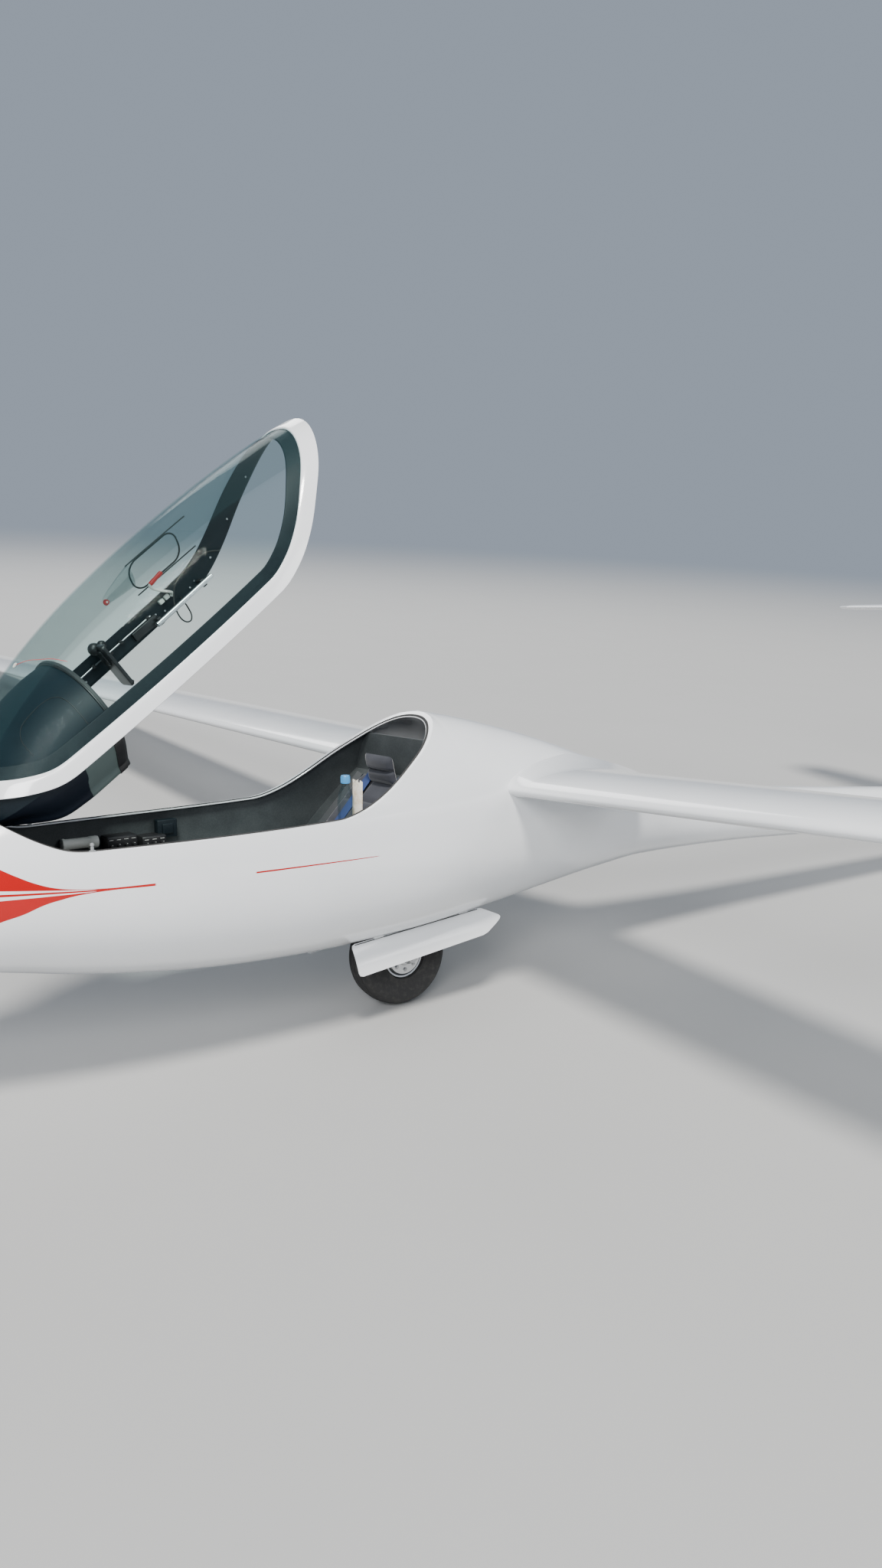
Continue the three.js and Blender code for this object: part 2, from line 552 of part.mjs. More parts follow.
function wheelPieces() {
  const flank = tyreHalf - 6;
  const tyreProfile = [
    [rimRadius + 1, -44], [120, -flank], [150, -tyreHalf], [168, -52], [tyreRadius - 3, -28], [tyreRadius, 0],
    [tyreRadius - 3, 28], [168, 52], [150, tyreHalf], [120, flank], [rimRadius + 1, 44],
  ];
  piece("main_tyre", turned(tyreProfile, 28, wheelX, wheelZ), finish.rubber);
  const bore = axleRadius + 0.4;
  const hubProfile = [
    [bore, -58], [34, -58], [34, -30], [rimRadius - 14, -24], [rimRadius, -42],
    [rimRadius, 42], [rimRadius - 14, 24], [34, 30], [34, 58], [bore, 58],
  ];
  piece("main_hub", turned(hubProfile, 20, wheelX, wheelZ), finish.alloy);
  const axleEnd = forkGap - seam;
  const axle = rod(vec(wheelX, -axleEnd, wheelZ), vec(wheelX, axleEnd, wheelZ), axleRadius, 20);
  piece("main_axle", axle, finish.steel);

  const arms = [-1, 1].flatMap((side) => {
    const plate = new THREE.Shape();
    const lean = Math.atan2(gearPivot.z - wheelZ, gearPivot.x - wheelX);
    plate.absarc(wheelX, wheelZ, 24, lean + Math.PI / 2, lean + 3 * Math.PI / 2);
    plate.absarc(gearPivot.x, gearPivot.z, 24, lean - Math.PI / 2, lean + Math.PI / 2);
    const y1 = side > 0 ? forkGap + forkPlate : -forkGap;
    const arm = new THREE.ExtrudeGeometry(plate, { depth: forkPlate, bevelEnabled: false, curveSegments: 6 })
      .rotateX(Math.PI / 2).translate(0, y1, 0);
    const y = side * (forkGap + forkPlate / 2);
    const strut = rod(vec(1905, y, 320), vec(gearStrut.x, y, gearStrut.z), 10, 10);
    return [arm, strut];
  });
  const reach = bay.half - seam;
  const tubes = [gearPivot, gearStrut].map(({ x, z }) => rod(vec(x, -reach, z), vec(x, reach, z), 15));
  piece("gear_fork", join(...arms, ...tubes), finish.steel);

  for (const [side, name] of [[-1, "port"], [1, "starboard"]]) {
    const flare = THREE.MathUtils.degToRad(door.flare);
    const slope = THREE.MathUtils.degToRad(door.slope);
    const along = vec(Math.cos(slope), 0, Math.sin(slope));
    const rise = vec(-Math.sin(slope) * Math.cos(flare), -side * Math.sin(flare), Math.cos(slope) * Math.cos(flare));
    const through = new THREE.Vector3().crossVectors(along, rise);
    const shape = new THREE.Shape(doorOutline.map(([x, z]) => new THREE.Vector2(x, z)));
    const panel = new THREE.ExtrudeGeometry(shape, { depth: door.wall, bevelEnabled: false })
      .translate(0, 0, side > 0 ? 0 : -door.wall)
      .applyMatrix4(new THREE.Matrix4().makeBasis(along, rise, through))
      .translate(door.x, side * door.y, door.z);
    const lugs = [90, 450].map((x) => {
      const z = door.z + x * Math.sin(slope);
      const [y0, y1] = [side * (door.y - 5), side * (bay.half - seam)];
      return box(door.x + x, door.x + x + 40, Math.min(y0, y1), Math.max(y0, y1), z - 12, z + 40);
    });
    const trimmed = lugs.map((lug) => cut(lug, fuselageSkinBelow()));
    piece(`gear_door_${name}`, join(panel, ...trimmed), finish.gelcoat);
  }

  const tailProfile = [
    [46, -22], [78, -tailTyreHalf], [98, -19], [tailTyreRadius, 0], [98, 19], [78, tailTyreHalf], [46, 22],
  ];
  piece("tail_tyre", turned(tailProfile, 24, tailWheelX, tailWheelZ), finish.rubber);
  const stub = tailSlot.half - seam;
  const tailHub = join(
    rod(vec(tailWheelX, -20, tailWheelZ), vec(tailWheelX, 20, tailWheelZ), 45, 24),
    rod(vec(tailWheelX, -stub, tailWheelZ), vec(tailWheelX, stub, tailWheelZ), 8, 12),
  );
  piece("tail_hub", tailHub, finish.alloy);

  const hook = box(1560, 1630, -16, 16, 252, 300);
  piece("tow_hook", cut(hook, fuselage(1500, 1680, 2, -seam)), finish.steel);
}

// the fuselage body round the wheel bay, a seam larger, to trim what lies beside it
function fuselageSkinBelow() {
  return cut(fuselage(tubBreak, 2400, 6, -seam),
    box(bay.front, bay.rear, seam - bay.half, bay.half - seam, 0, bay.roof));
}

function canopyPieces() {
  const outer = fuselage(440, 2130, 15);
  const band = cut(overSill(clearance), overSill(clearance + frameDepth));
  const frameBody = cut(within(outer, band), fuselage(430, 2140, 15, frameWall));
  canopyPiece("canopy_frame", frameBody, finish.gelcoat);
  const dome = cut(fuselage(460, 2120, 15, glazingOuter), fuselage(440, 2140, 15, glazingInner));
  canopyPiece("canopy_glazing", within(dome, overSill(clearance + frameDepth + seam)), finish.glazing);

  const [foremost, last] = [hoodTable[0], hoodTable.at(-1)];
  // a point of the hood, leaned the more the nearer it is to the panel
  const leaned = (x, y, z) =>
    vec(x - hoodLean * (last.high - z) * (x - foremost.x) / (last.x - foremost.x), y, z);
  const hoodRing = (row) => {
    const arch = Array.from({ length: 9 }, (_, i) => {
      const angle = Math.PI * i / 8;
      const height = hoodWaist + (row.high - hoodWaist) * Math.sin(angle);
      return leaned(row.x, row.upper * Math.cos(angle), height);
    });
    const foot = Math.min(24, (hoodWaist - row.low) / 3);
    return [...arch, leaned(row.x, -row.lower, row.low + foot), leaned(row.x, foot - row.lower, row.low),
      leaned(row.x, row.lower - foot, row.low), leaned(row.x, row.lower, row.low + foot)];
  };
  const inside = fuselage(440, 2130, 15, frameWall + seam);
  const tabs = within(box(850, 890, -wide, wide, 762, 784), inside);
  canopyPiece("instrument_hood", join(loft(hoodTable.map(hoodRing), "x"), tabs), finish.dark);

  const lean = Math.atan(hoodLean);
  // a point on or over the panel's face, which lies across the line from its foot to its top
  const onPanel = (y, z, out) =>
    leaned(last.x, y, z).add(vec(seam + panelDepth + out * Math.cos(lean), 0, -out * Math.sin(lean)));
  const plate = loft([seam, panelDepth + seam].map((off) =>
    hoodRing({ ...last, high: last.high + 8 }).map((point) => point.add(vec(off, 0, 0)))), "x");
  const dials = [[-120, 850], [-120, 780], [120, 850], [120, 780], [0, 745]].map(([y, z]) =>
    rod(onPanel(y, z, -6), onPanel(y, z, 5), 28, 16));
  canopyPiece("instrument_panel", join(plate, ...dials), finish.dark);
  const screen = box(0, 8, -78, 78, -50, 50).rotateY(lean);
  screen.translate(...onPanel(0, 856, seam).toArray());
  canopyPiece("panel_screen", screen, finish.screen);

  const hingeRod = rod(...[-1, 1].map((side) => vec(canopyHinge.x, side * hingeTube.half, canopyHinge.z)),
    hingeTube.radius, 20);
  const arms = [-44, 44].map((y) => box(canopyHinge.x - 4, hoodTable[0].x - seam, y - 8, y + 8,
    canopyHinge.z - 14, canopyHinge.z + 3));
  canopyPiece("canopy_arm", join(hingeRod, ...arms), finish.steel);

  const ball = new THREE.SphereGeometry(19, 14, 10).translate(1160, 232, 842);
  const stem = rod(vec(1160, 236, 836), vec(1160, 320, 742), 7, 10);
  const holder = box(1172, 1184, 176, 262, 692, 850);
  const neck = rod(vec(1160, 228, 838), vec(1178, 224, 826), 8, 10);
  canopyPiece("device_mount", join(ball, within(stem, inside), neck, holder), finish.dark);

  const grip = rod(vec(1449, 254, 877), vec(1506, 250, 884), 8, 10);
  const lever = join(grip, rod(vec(1449, 254, 877), vec(1492, 262, 812), 6, 10),
    within(rod(vec(1492, 262, 812), vec(1500, 322, 770), 9, 10), inside));
  canopyPiece("lock_lever", lever, finish.red);
  const latch = join(rod(vec(1385, 254, 763), vec(1640, 254, 766), 9, 12),
    ...[1395, 1592].map((x) => within(box(x, x + 16, 250, 330, 754, 780), inside)));
  canopyPiece("lock_rod", latch, finish.alloy);
}

function cockpitPieces() {
  const inside = cabin(skin + seam);
  const lugs = [-1, 1].map((side) => {
    const [y0, y1] = [hingeTube.lugIn, hingeTube.half].map((y) => side * y).sort((a, b) => a - b);
    return box(cavityFront + seam, canopyHinge.x + 13, y0, y1,
      canopyHinge.z - 16, canopyHinge.z + 13);
  });
  const bridge = box(cavityFront + seam, cavityFront + 5, -hingeTube.half, hingeTube.half,
    770, canopyHinge.z - 8);
  const bore = rod(...[-90, 90].map((y) => vec(canopyHinge.x, y, canopyHinge.z)), hingeTube.bore, 20);
  piece("hinge_bracket", within(cut(join(...lugs, bridge), bore), inside), finish.steel);

  const pan = slab([
    [985, 372], [1130, 338], [1400, 336], [1550, 372],
    [1544, 384], [1398, 348], [1132, 350], [989, 384],
  ], -185, 185);
  piece("seat_pan", within(pan, inside), finish.seat);
  const back = slab([[1556, 392], [1966, 796], [1958, 806], [1547, 399]], -200, 200);
  piece("seat_back", within(back, inside), finish.seat);
  const rest = slab([[1934, 783.6], [1956, 805.4], [1934, 905], [1904, 895]], -85, 85);
  piece("headrest", rest, finish.seat);

  const grip = [rod(vec(1250, 0, 349.7), vec(1250, 0, 362), 24, 16),
    rod(vec(1250, 0, 352), vec(1286, 0, 566), 10, 12),
    rod(vec(1284, 0, 556), vec(1300, 0, 676), 17, 14)];
  piece("control_stick", join(...grip), finish.dark);
  const bar = within(rod(vec(640, -300, 500), vec(640, 300, 500), 8, 12), inside);
  const plates = [-80, 80].map((y) => box(644, 654, y - 32, y + 32, 470, 590));
  piece("rudder_pedals", join(bar, ...plates), finish.alloy);

  for (const [side, name] of [[-1, "port"], [1, "starboard"]]) {
    const [y0, y1] = [212, 340].map((y) => side * y).sort((a, b) => a - b);
    piece(`side_console_${name}`, within(box(1020, 1600, y0, y1, 540, 585), inside), finish.grey);
  }
  piece("side_pocket_port", within(box(1560, 1680, -340, -208, 590, 676), inside), finish.dark);
  const [base, neck, top] = [676 + seam, bottle.neck, bottle.top].map((z) => vec(bottle.x, bottle.y, z));
  piece("drink_bottle", join(rod(base, neck, bottle.radius, 20), rod(neck, top, 14, 16)), finish.blue);
  piece("air_duct", within(rod(vec(880, 268, 669), vec(1000, 268, 667), 20, 16), inside), finish.grey);
  piece("switch_box_front", within(box(1020, 1120, 236, 330, 630, 680), inside), finish.dark);
  piece("switch_box_rear", within(box(1140, 1222, 240, 330, 626, 666), inside), finish.dark);
  const handles = [["airbrake_handle", 1180, finish.blue], ["flap_handle", 1330, finish.dark]];
  for (const [name, x, material] of handles) {
    const post = rod(vec(x, -248, 585 + seam), vec(x, -248, 640), 7, 10);
    const bar = rod(vec(x, -262, 640), vec(x, -190, 640), 13, 12);
    piece(name, join(post, bar), material);
  }
}

fuselagePieces();
wingPieces(-1, "port");
wingPieces(1, "starboard");
tailPieces();
wheelPieces();
canopyPieces();
cockpitPieces();

// rest the aircraft on its main wheel, its tail wheel and the starboard tip skid
const glider = new THREE.Group();
glider.add(airframe);
const corner = new THREE.Vector3();

function lowest(name) {
  glider.updateMatrixWorld(true);
  const mesh = glider.getObjectByName(name);
  const { position } = mesh.geometry.attributes;
  let low = Infinity;
  for (let i = 0; i < position.count; i++) {
    low = Math.min(low, corner.fromBufferAttribute(position, i).applyMatrix4(mesh.matrixWorld).z);
  }
  return low;
}

for (let round = 0; round < 12; round++) {
  airframe.position.z -= lowest("main_tyre");
  airframe.rotation.y += lowest("tail_tyre") / (tailWheelX - wheelX);
  airframe.position.z -= lowest("main_tyre");
  airframe.rotation.x -= lowest("wing_outer_starboard") / tipSkid.span;
}
const bounds = new THREE.Box3().setFromObject(glider, true);
const middle = bounds.getCenter(new THREE.Vector3());
airframe.position.add(vec(-middle.x, -middle.y, -bounds.min.z));

// hinge lines as pairs of points on the unsettled aircraft
glider.userData.hingeLines = {
  canopy: [vec(canopyHinge.x, 0, canopyHinge.z), vec(canopyHinge.x, 1, canopyHinge.z)],
  main_wheel: [vec(wheelX, 0, wheelZ), vec(wheelX, 1, wheelZ)],
  tail_wheel: [vec(tailWheelX, 0, tailWheelZ), vec(tailWheelX, 1, tailWheelZ)],
  rudder: [vec(finTable[0].hinge, 0, finTable[0].z), vec(finTable[2].hinge, 0, finTable[2].z)],
  elevator: [-elevatorEnd, elevatorEnd].map((y) => vec(tailplaneTable[2].hinge, y, tailplaneZ)),
  flap_port: [wingHinge(-1, rootSpan), wingHinge(-1, flapEnd)],
  flap_starboard: [wingHinge(1, rootSpan), wingHinge(1, flapEnd)],
  aileron_port: [wingHinge(-1, flapEnd), wingHinge(-1, aileronEnd)],
  aileron_starboard: [wingHinge(1, flapEnd), wingHinge(1, aileronEnd)],
};

export default glider;
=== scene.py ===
import json
from math import acos, copysign, cos, dist, exp, pi, radians, sin, sqrt, tan

import bmesh
import bpy
import numpy as np
from mathutils import Matrix, Vector


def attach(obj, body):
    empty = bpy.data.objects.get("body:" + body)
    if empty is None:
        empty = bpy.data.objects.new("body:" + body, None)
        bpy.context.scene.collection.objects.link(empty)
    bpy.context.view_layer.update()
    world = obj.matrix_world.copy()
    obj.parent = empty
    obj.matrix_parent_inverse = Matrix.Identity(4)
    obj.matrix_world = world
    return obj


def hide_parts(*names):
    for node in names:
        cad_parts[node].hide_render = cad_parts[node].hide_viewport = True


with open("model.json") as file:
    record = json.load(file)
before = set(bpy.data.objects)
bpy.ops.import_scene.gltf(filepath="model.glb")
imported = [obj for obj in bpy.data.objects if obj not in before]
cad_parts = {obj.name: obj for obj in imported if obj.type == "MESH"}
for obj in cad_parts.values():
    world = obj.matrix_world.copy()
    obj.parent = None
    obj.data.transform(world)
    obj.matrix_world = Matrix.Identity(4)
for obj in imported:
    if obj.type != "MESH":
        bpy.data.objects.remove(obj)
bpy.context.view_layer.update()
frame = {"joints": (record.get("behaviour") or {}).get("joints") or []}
joints = {joint["name"]: joint for joint in frame["joints"]}

# where the aircraft stands; its own frame, in metres: X aft from the nose, Y to starboard, Z up
hull = {"mainAxle": Vector((1.97, 0, 0.18)), "tailAxle": Vector((6.2, 0, 0.104))}
lid = {"hinge": Vector((0.456, 0, 0.832)), "open": radians(38)}


def standing():
    def columns(along, across):
        return Matrix((along, across, along.cross(across))).transposed()
    across = Vector(joints["main_wheel_spin"]["axis"]).normalized()
    fore, aft = (Vector(joints[name]["pos_m"]) for name in ("main_wheel_spin", "tail_wheel_spin"))
    own = columns((hull["tailAxle"] - hull["mainAxle"]).normalized(), Vector((0, 1, 0)))
    turn = columns((aft - fore).normalized(), across) @ own.transposed()
    return Matrix.Translation(fore - turn @ hull["mainAxle"]) @ turn.to_4x4()


stand = standing()
lifted = (stand @ Matrix.Translation(lid["hinge"]) @ Matrix.Rotation(-lid["open"], 4, "Y")
    @ Matrix.Translation(-lid["hinge"]))

# camera at the photograph's place, carried along with the aircraft
view = {"focal": 1577.1, "place": (-0.386, -3.388, 1.54), "yaw": 36.859, "down": 10.272, "roll": 0.649, "bank": 2.105}


# an object that shows its data
def shown(name, data):
    thing = bpy.data.objects.new(name, data)
    bpy.context.scene.collection.objects.link(thing)
    return thing


def makeCamera():
    yaw, down, roll = (radians(view[k]) for k in ("yaw", "down", "roll"))
    ahead = Vector((sin(yaw) * cos(down), cos(yaw) * cos(down), -sin(down)))
    right = Vector((cos(yaw), -sin(yaw), 0))
    up = right.cross(ahead)
    right, up = right * cos(roll) + up * sin(roll), up * cos(roll) - right * sin(roll)
    pose = Matrix((right, up, -ahead)).transposed().to_4x4()
    pose.translation = view["place"]
    data = bpy.data.cameras.new("camera")
    data.sensor_fit, data.sensor_height, data.sensor_width = "VERTICAL", 36, 36
    data.lens = view["focal"] / 2048 * 36
    data.clip_start, data.clip_end = 0.05, 200
    camera = shown("camera", data)
    camera.matrix_world = stand @ Matrix.Rotation(radians(view["bank"]), 4, "X") @ pose
    bpy.context.scene.camera = camera


makeCamera()
print("camera placed")


class Wire:
    # a socket whose operators add Math nodes
    def __init__(self, paint, socket):
        self.paint, self.socket = paint, socket

    def calc(self, operation, *values):
        return self.paint.node("ShaderNodeMath", {"operation": operation}, *values)

    def __add__(self, other): return self.calc("ADD", self, other)
    def __radd__(self, other): return self.calc("ADD", other, self)
    def __sub__(self, other): return self.calc("SUBTRACT", self, other)
    def __rsub__(self, other): return self.calc("SUBTRACT", other, self)
    def __mul__(self, other): return self.calc("MULTIPLY", self, other)
    def __rmul__(self, other): return self.calc("MULTIPLY", other, self)
    def __abs__(self): return self.calc("ABSOLUTE", self)
    def low(self, other): return self.calc("MINIMUM", self, other)
    def high(self, other): return self.calc("MAXIMUM", self, other)

    # 0 below start, 1 above end, smooth between
    def step(self, start, end):
        return self.paint.node("ShaderNodeMapRange", {"interpolation_type": "SMOOTHSTEP"}, self, start, end, 0.0, 1.0)

    # 1 within half of centre, with soft edges
    def near(self, centre, half, soft=0.0004):
        return 1 - abs(self - centre).step(half, half + soft)


class Paint:
    def __init__(self, name, **fixed):
        self.material = bpy.data.materials.new(name)
        self.material.use_nodes = True
        self.tree = self.material.node_tree
        self.shader = self.tree.nodes["Principled BSDF"]
        self.output = self.tree.nodes["Material Output"]
        self.wear(**fixed)

    def link(self, value, socket):
        if isinstance(value, Wire):
            self.tree.links.new(value.socket, socket)
        elif value is not None:
            if hasattr(value, "__len__") and len(value) == 3 and len(socket.default_value) == 4:
                value = (*value, 1)
            socket.default_value = value

    # kind of node, its settings, then its sockets' values in order or by name
    def node(self, kind, settings=None, *values, out=0, **named):
        made = self.tree.nodes.new(kind)
        for key, value in (settings or {}).items():
            if key == "stops":
                ramp = made.color_ramp.elements
                while len(ramp) < len(value):
                    ramp.new(0.5)
                for stop, (at, color) in zip(ramp, value):
                    stop.position, stop.color = at, (*color, 1) if len(color) == 3 else color
            else:
                setattr(made, key, value)
        for i, value in enumerate(values):
            self.link(value, made.inputs[i])
        for key, value in named.items():
            self.link(value, made.inputs[key.replace("_", " ")])
        return Wire(self, made.outputs[out])

    # the piece's place in the aircraft's own frame
    def place(self):
        where = self.node("ShaderNodeAttribute", {"attribute_name": "place"}, out="Vector")
        parts = self.tree.nodes.new("ShaderNodeSeparateXYZ")
        self.tree.links.new(where.socket, parts.inputs[0])
        return where, *(Wire(self, parts.outputs[i]) for i in range(3))

    def around(self):
        return self.node("ShaderNodeTexCoord", out="Object")

    def noise(self, vector, scale, detail=2.0, rough=0.5):
        return self.node("ShaderNodeTexNoise", None, Vector=vector, Scale=scale, Detail=detail, Roughness=rough)

    def stretch(self, vector, scale):
        return self.node("ShaderNodeVectorMath", {"operation": "MULTIPLY"}, vector, scale)

    def blend(self, share, a, b):
        made = self.tree.nodes.new("ShaderNodeMix")
        made.data_type = "RGBA"
        for value, index in ((share, 0), (a, 6), (b, 7)):
            self.link(value, made.inputs[index])
        return Wire(self, made.outputs[2])

    def bump(self, height, distance, strength=1.0):
        return self.node("ShaderNodeBump", None, Strength=strength, Distance=distance, Height=height)

    def wear(self, **sockets):
        for key, value in sockets.items():
            self.link(value, self.shader.inputs[key.replace("_", " ")])
        return self


# points from lengths in millimetres given in turn
def mm(*lengths, by=2):
    metres = [round(length / 1000, 7) for length in lengths]
    return [tuple(metres[i:i + by]) for i in range(0, len(metres), by)]


# red flame on the nose: edges as station and height, and the white pinstripes that cut through it
flame = {
    "upper": mm(0, 675, 120, 742, 260, 786, 380, 786, 470, 762, 533, 731, 574, 707, 633, 677, 673, 663, 720, 653.5,
        800, 645.5, 942, 640.5, 1564, 624, 1700, 621),
    "lower": mm(0, 535, 120, 492, 260, 476, 380, 506, 470, 552, 526, 584, 587, 600, 650, 621.5, 690, 629, 720, 633.5,
        800, 637.5, 942, 633.5, 1564, 620.5, 1700, 619),
    "red": (0.42, 0.001, 0.0006),
    "bare": (0.945, 1.26),      # stretch of the thin stripe that stays white
    "pins": [((0.0, 0.704), (0.53, 0.6665), 0.0046, (0.775, 0.645), 0.0004),
             ((0.0, 0.672), (0.53, 0.65), 0.0052, (0.775, 0.64), 0.0004)],
}
gel = {"white": (0.8, 0.815, 0.83), "shade": (0.72, 0.735, 0.755), "rough": 0.13, "ripple": 0.00006}


# a height over a line of points, as one curve
def lineHeight(paint, x, points):
    curve = paint.tree.nodes.new("ShaderNodeFloatCurve")
    low, high = points[0][0], points[-1][0]
    line = curve.mapping.curves[0]
    base, span = 0.4, 0.5
    for i, (px, pz) in enumerate(points):
        at = ((px - low) / (high - low), (pz - base) / span)
        if i in (0, 1):
            line.points[i].location = at
        else:
            line.points.new(*at)
    line.points[1].location = ((points[1][0] - low) / (high - low), (points[1][1] - base) / span)
    curve.mapping.use_clip = False
    curve.mapping.update()
    share = paint.node("ShaderNodeMapRange", None, x, low, high, 0.0, 1.0)
    paint.tree.links.new(share.socket, curve.inputs["Value"])
    return Wire(paint, curve.outputs[0]) * span + base


def gelcoat(name, stripes=False, lines=None):
    paint = Paint(name, IOR=1.5, Coat_Roughness=0.05)
    where, x, y, z = paint.place()
    cloud = paint.noise(where, 3.0, 3.0)
    dust = paint.noise(paint.stretch(where, (1.0, 3.0, 6.0)), 9.0, 5.0, 0.6)
    color = paint.blend(cloud.step(0.35, 0.7) * 0.35 + dust.step(0.5, 0.8) * 0.15, gel["white"], gel["shade"])
    rough = gel["rough"] + dust.step(0.45, 0.8) * 0.07 + cloud * 0.03
    coat = cloud * 0.1 + 0.5
    if stripes:
        over, under = lineHeight(paint, x, flame["upper"]), lineHeight(paint, x, flame["lower"])
        mask = (over - z).step(-0.0006, 0.0006) * (z - under).step(-0.0006, 0.0006) * (1 - x.step(1.68, 1.7))
        for start, middle, half, end, point in flame["pins"]:
            slopeA = (middle[1] - start[1]) / (middle[0] - start[0])
            slopeB = (end[1] - middle[1]) / (end[0] - middle[0])
            height = middle[1] + (x - middle[0]).low(0.0) * slopeA + (x - middle[0]).high(0.0) * slopeB
            width = half + (x - middle[0]).high(0.0) * ((point - half) / (end[0] - middle[0]))
            pin = 1 - abs(z - height).step(width - 0.0005, width + 0.0005)
            mask = mask * (1 - pin * (1 - x.step(end[0], end[0] + 0.01)))
        mask = mask * (1 - x.step(flame["bare"][0],
            flame["bare"][0] + 0.006) * (1 - x.step(flame["bare"][1] - 0.006, flame["bare"][1])))
        fade = paint.noise(where, 5.0, 2.0).step(0.3, 0.8) * 0.12
        color = paint.blend(mask, color, paint.blend(fade, flame["red"], (0.36, 0.002, 0.001)))
        coat = coat - mask * 0.4
    if lines:
        groove = lines(x, y)
        color = paint.blend(groove, color, (0.1, 0.1, 0.1))
        rough = rough + groove * 0.4
    ripple = paint.noise(where, 260.0, 1.0)
    paint.wear(Base_Color=color, Roughness=rough, Coat_Weight=coat, Normal=paint.bump(ripple, gel["ripple"], 0.25))
    return paint.material


# thin dark outlines of the airbrake lids on the wing's top
def brakeLines(x, y):
    span = abs(y)
    lead = 2.272 + (span - 0.34) * (0.028 / 4.26)
    fore, aft = x - (lead + 0.285), x - (lead + 0.325)
    along = span.step(2.0, 2.0006) * (1 - span.step(3.4494, 3.45))
    ends = (span.near(2.0, 0.0008) + span.near(3.45, 0.0008)) * fore.step(-0.0005, 0.0) * (1 - aft.step(0.0, 0.0005))
    joint = span.near(6.3, 0.0009)      # where the outer panel plugs in
    return ((fore.near(0.0, 0.0008) + aft.near(0.0, 0.0008)) * along + ends + joint).low(1.0)


def plain(name, color, other, scale, rough, metal=0.0, spread=0.1, grain=0.00012, stretch=(1, 1, 1), coat=0.0,
        shine=0.5):
    # two close colours in soft patches, a fine grain, and roughness that changes with both
    paint = Paint(name, Metallic=metal, Specular_IOR_Level=shine)
    where = paint.stretch(paint.around(), stretch)
    patch = paint.noise(where, scale, 4.0, 0.55)
    fine = paint.noise(where, scale * 22, 2.0, 0.6)
    color = paint.blend(patch.step(0.35, 0.65) * 0.6 + fine.step(0.4, 0.6) * 0.4, color, other)
    paint.wear(Base_Color=color, Roughness=rough - spread / 2 + patch * spread + fine * spread * 0.4,
        Coat_Weight=coat, Normal=paint.bump(fine, grain, 0.6))
    return paint.material


# grey-green pod under the hood, with painted shade: its front is painted dark blue as shadow, ending in a wavy
# painted shadow edge before the panel
def podCoatWithPaintedShade(name):
    paint = Paint(name, Specular_IOR_Level=0.25)
    where, x, _, z = paint.place()
    cloud = paint.noise(where, 16.0, 2.0)
    # share of the pod clear of the painted shadow, behind a wavy painted shadow edge
    bare = (x + (0.96 - z) * 0.16 + cloud * 0.012).step(0.842, 0.844)
    # dark blue is painted shade; the two grey-greens are the pod's own colour in random patches
    color = paint.blend(bare, (0.005, 0.009, 0.017), paint.blend(cloud, (0.085, 0.12, 0.115), (0.11, 0.145, 0.14)))
    paint.wear(Base_Color=color, Roughness=0.5 + cloud * 0.1,
        Normal=paint.bump(paint.noise(where, 150.0), 0.0001, 0.6))
    return paint.material


def weave(name, color, other, threads=900.0, rough=0.85):
    paint = Paint(name, Sheen_Weight=0.35, Sheen_Roughness=0.4)
    where = paint.around()
    parts = paint.tree.nodes.new("ShaderNodeSeparateXYZ")
    paint.tree.links.new(where.socket, parts.inputs[0])
    x, y, z = (Wire(paint, parts.outputs[i]) for i in range(3))
    warp = ((x + z) * threads * 6.283).calc("SINE", (x + z) * (threads * 2))
    weft = (y * (threads * 2)).calc("SINE", y * (threads * 2))
    thread = warp * weft * 0.5 + 0.5
    patch = paint.noise(where, 14.0, 3.0)
    color = paint.blend(thread * 0.5 + patch.step(0.3, 0.7) * 0.4, color, other)
    paint.wear(Base_Color=color, Roughness=rough - thread * 0.1, Normal=paint.bump(thread, 0.0003, 0.5))
    return paint.material


def tintedAcrylic(name, tint=(0.9, 0.96, 0.958), cloud=0.0):
    paint = Paint(name, IOR=1.49, Coat_Weight=0.0)
    where = paint.around()
    haze = paint.noise(where, 6.0, 4.0).step(0.45, 0.75)
    paint.wear(Base_Color=(0.02, 0.045, 0.05), Roughness=0.02 + haze * 0.03)
    clear = paint.node("ShaderNodeBsdfTransparent", None, tint)
    gloss = paint.node("ShaderNodeFresnel", None, 1.49)
    share = gloss * 0.26 + cloud + haze * 0.004
    mix = paint.node("ShaderNodeMixShader", None, share, clear, Wire(paint, paint.shader.outputs[0]))
    paint.tree.links.new(mix.socket, paint.output.inputs["Surface"])
    return paint.material


def treadRubber(name):
    paint = Paint(name)
    where = paint.around()
    dusty = paint.noise(where, 60.0, 5.0, 0.6)
    fine = paint.noise(where, 700.0, 2.0)
    color = paint.blend(dusty.step(0.4, 0.8) * 0.35 + fine * 0.1, (0.014, 0.014, 0.015), (0.085, 0.08, 0.072))
    paint.wear(Base_Color=color, Roughness=0.72 + dusty * 0.2, Normal=paint.bump(fine, 0.0002, 0.6))
    return paint.material


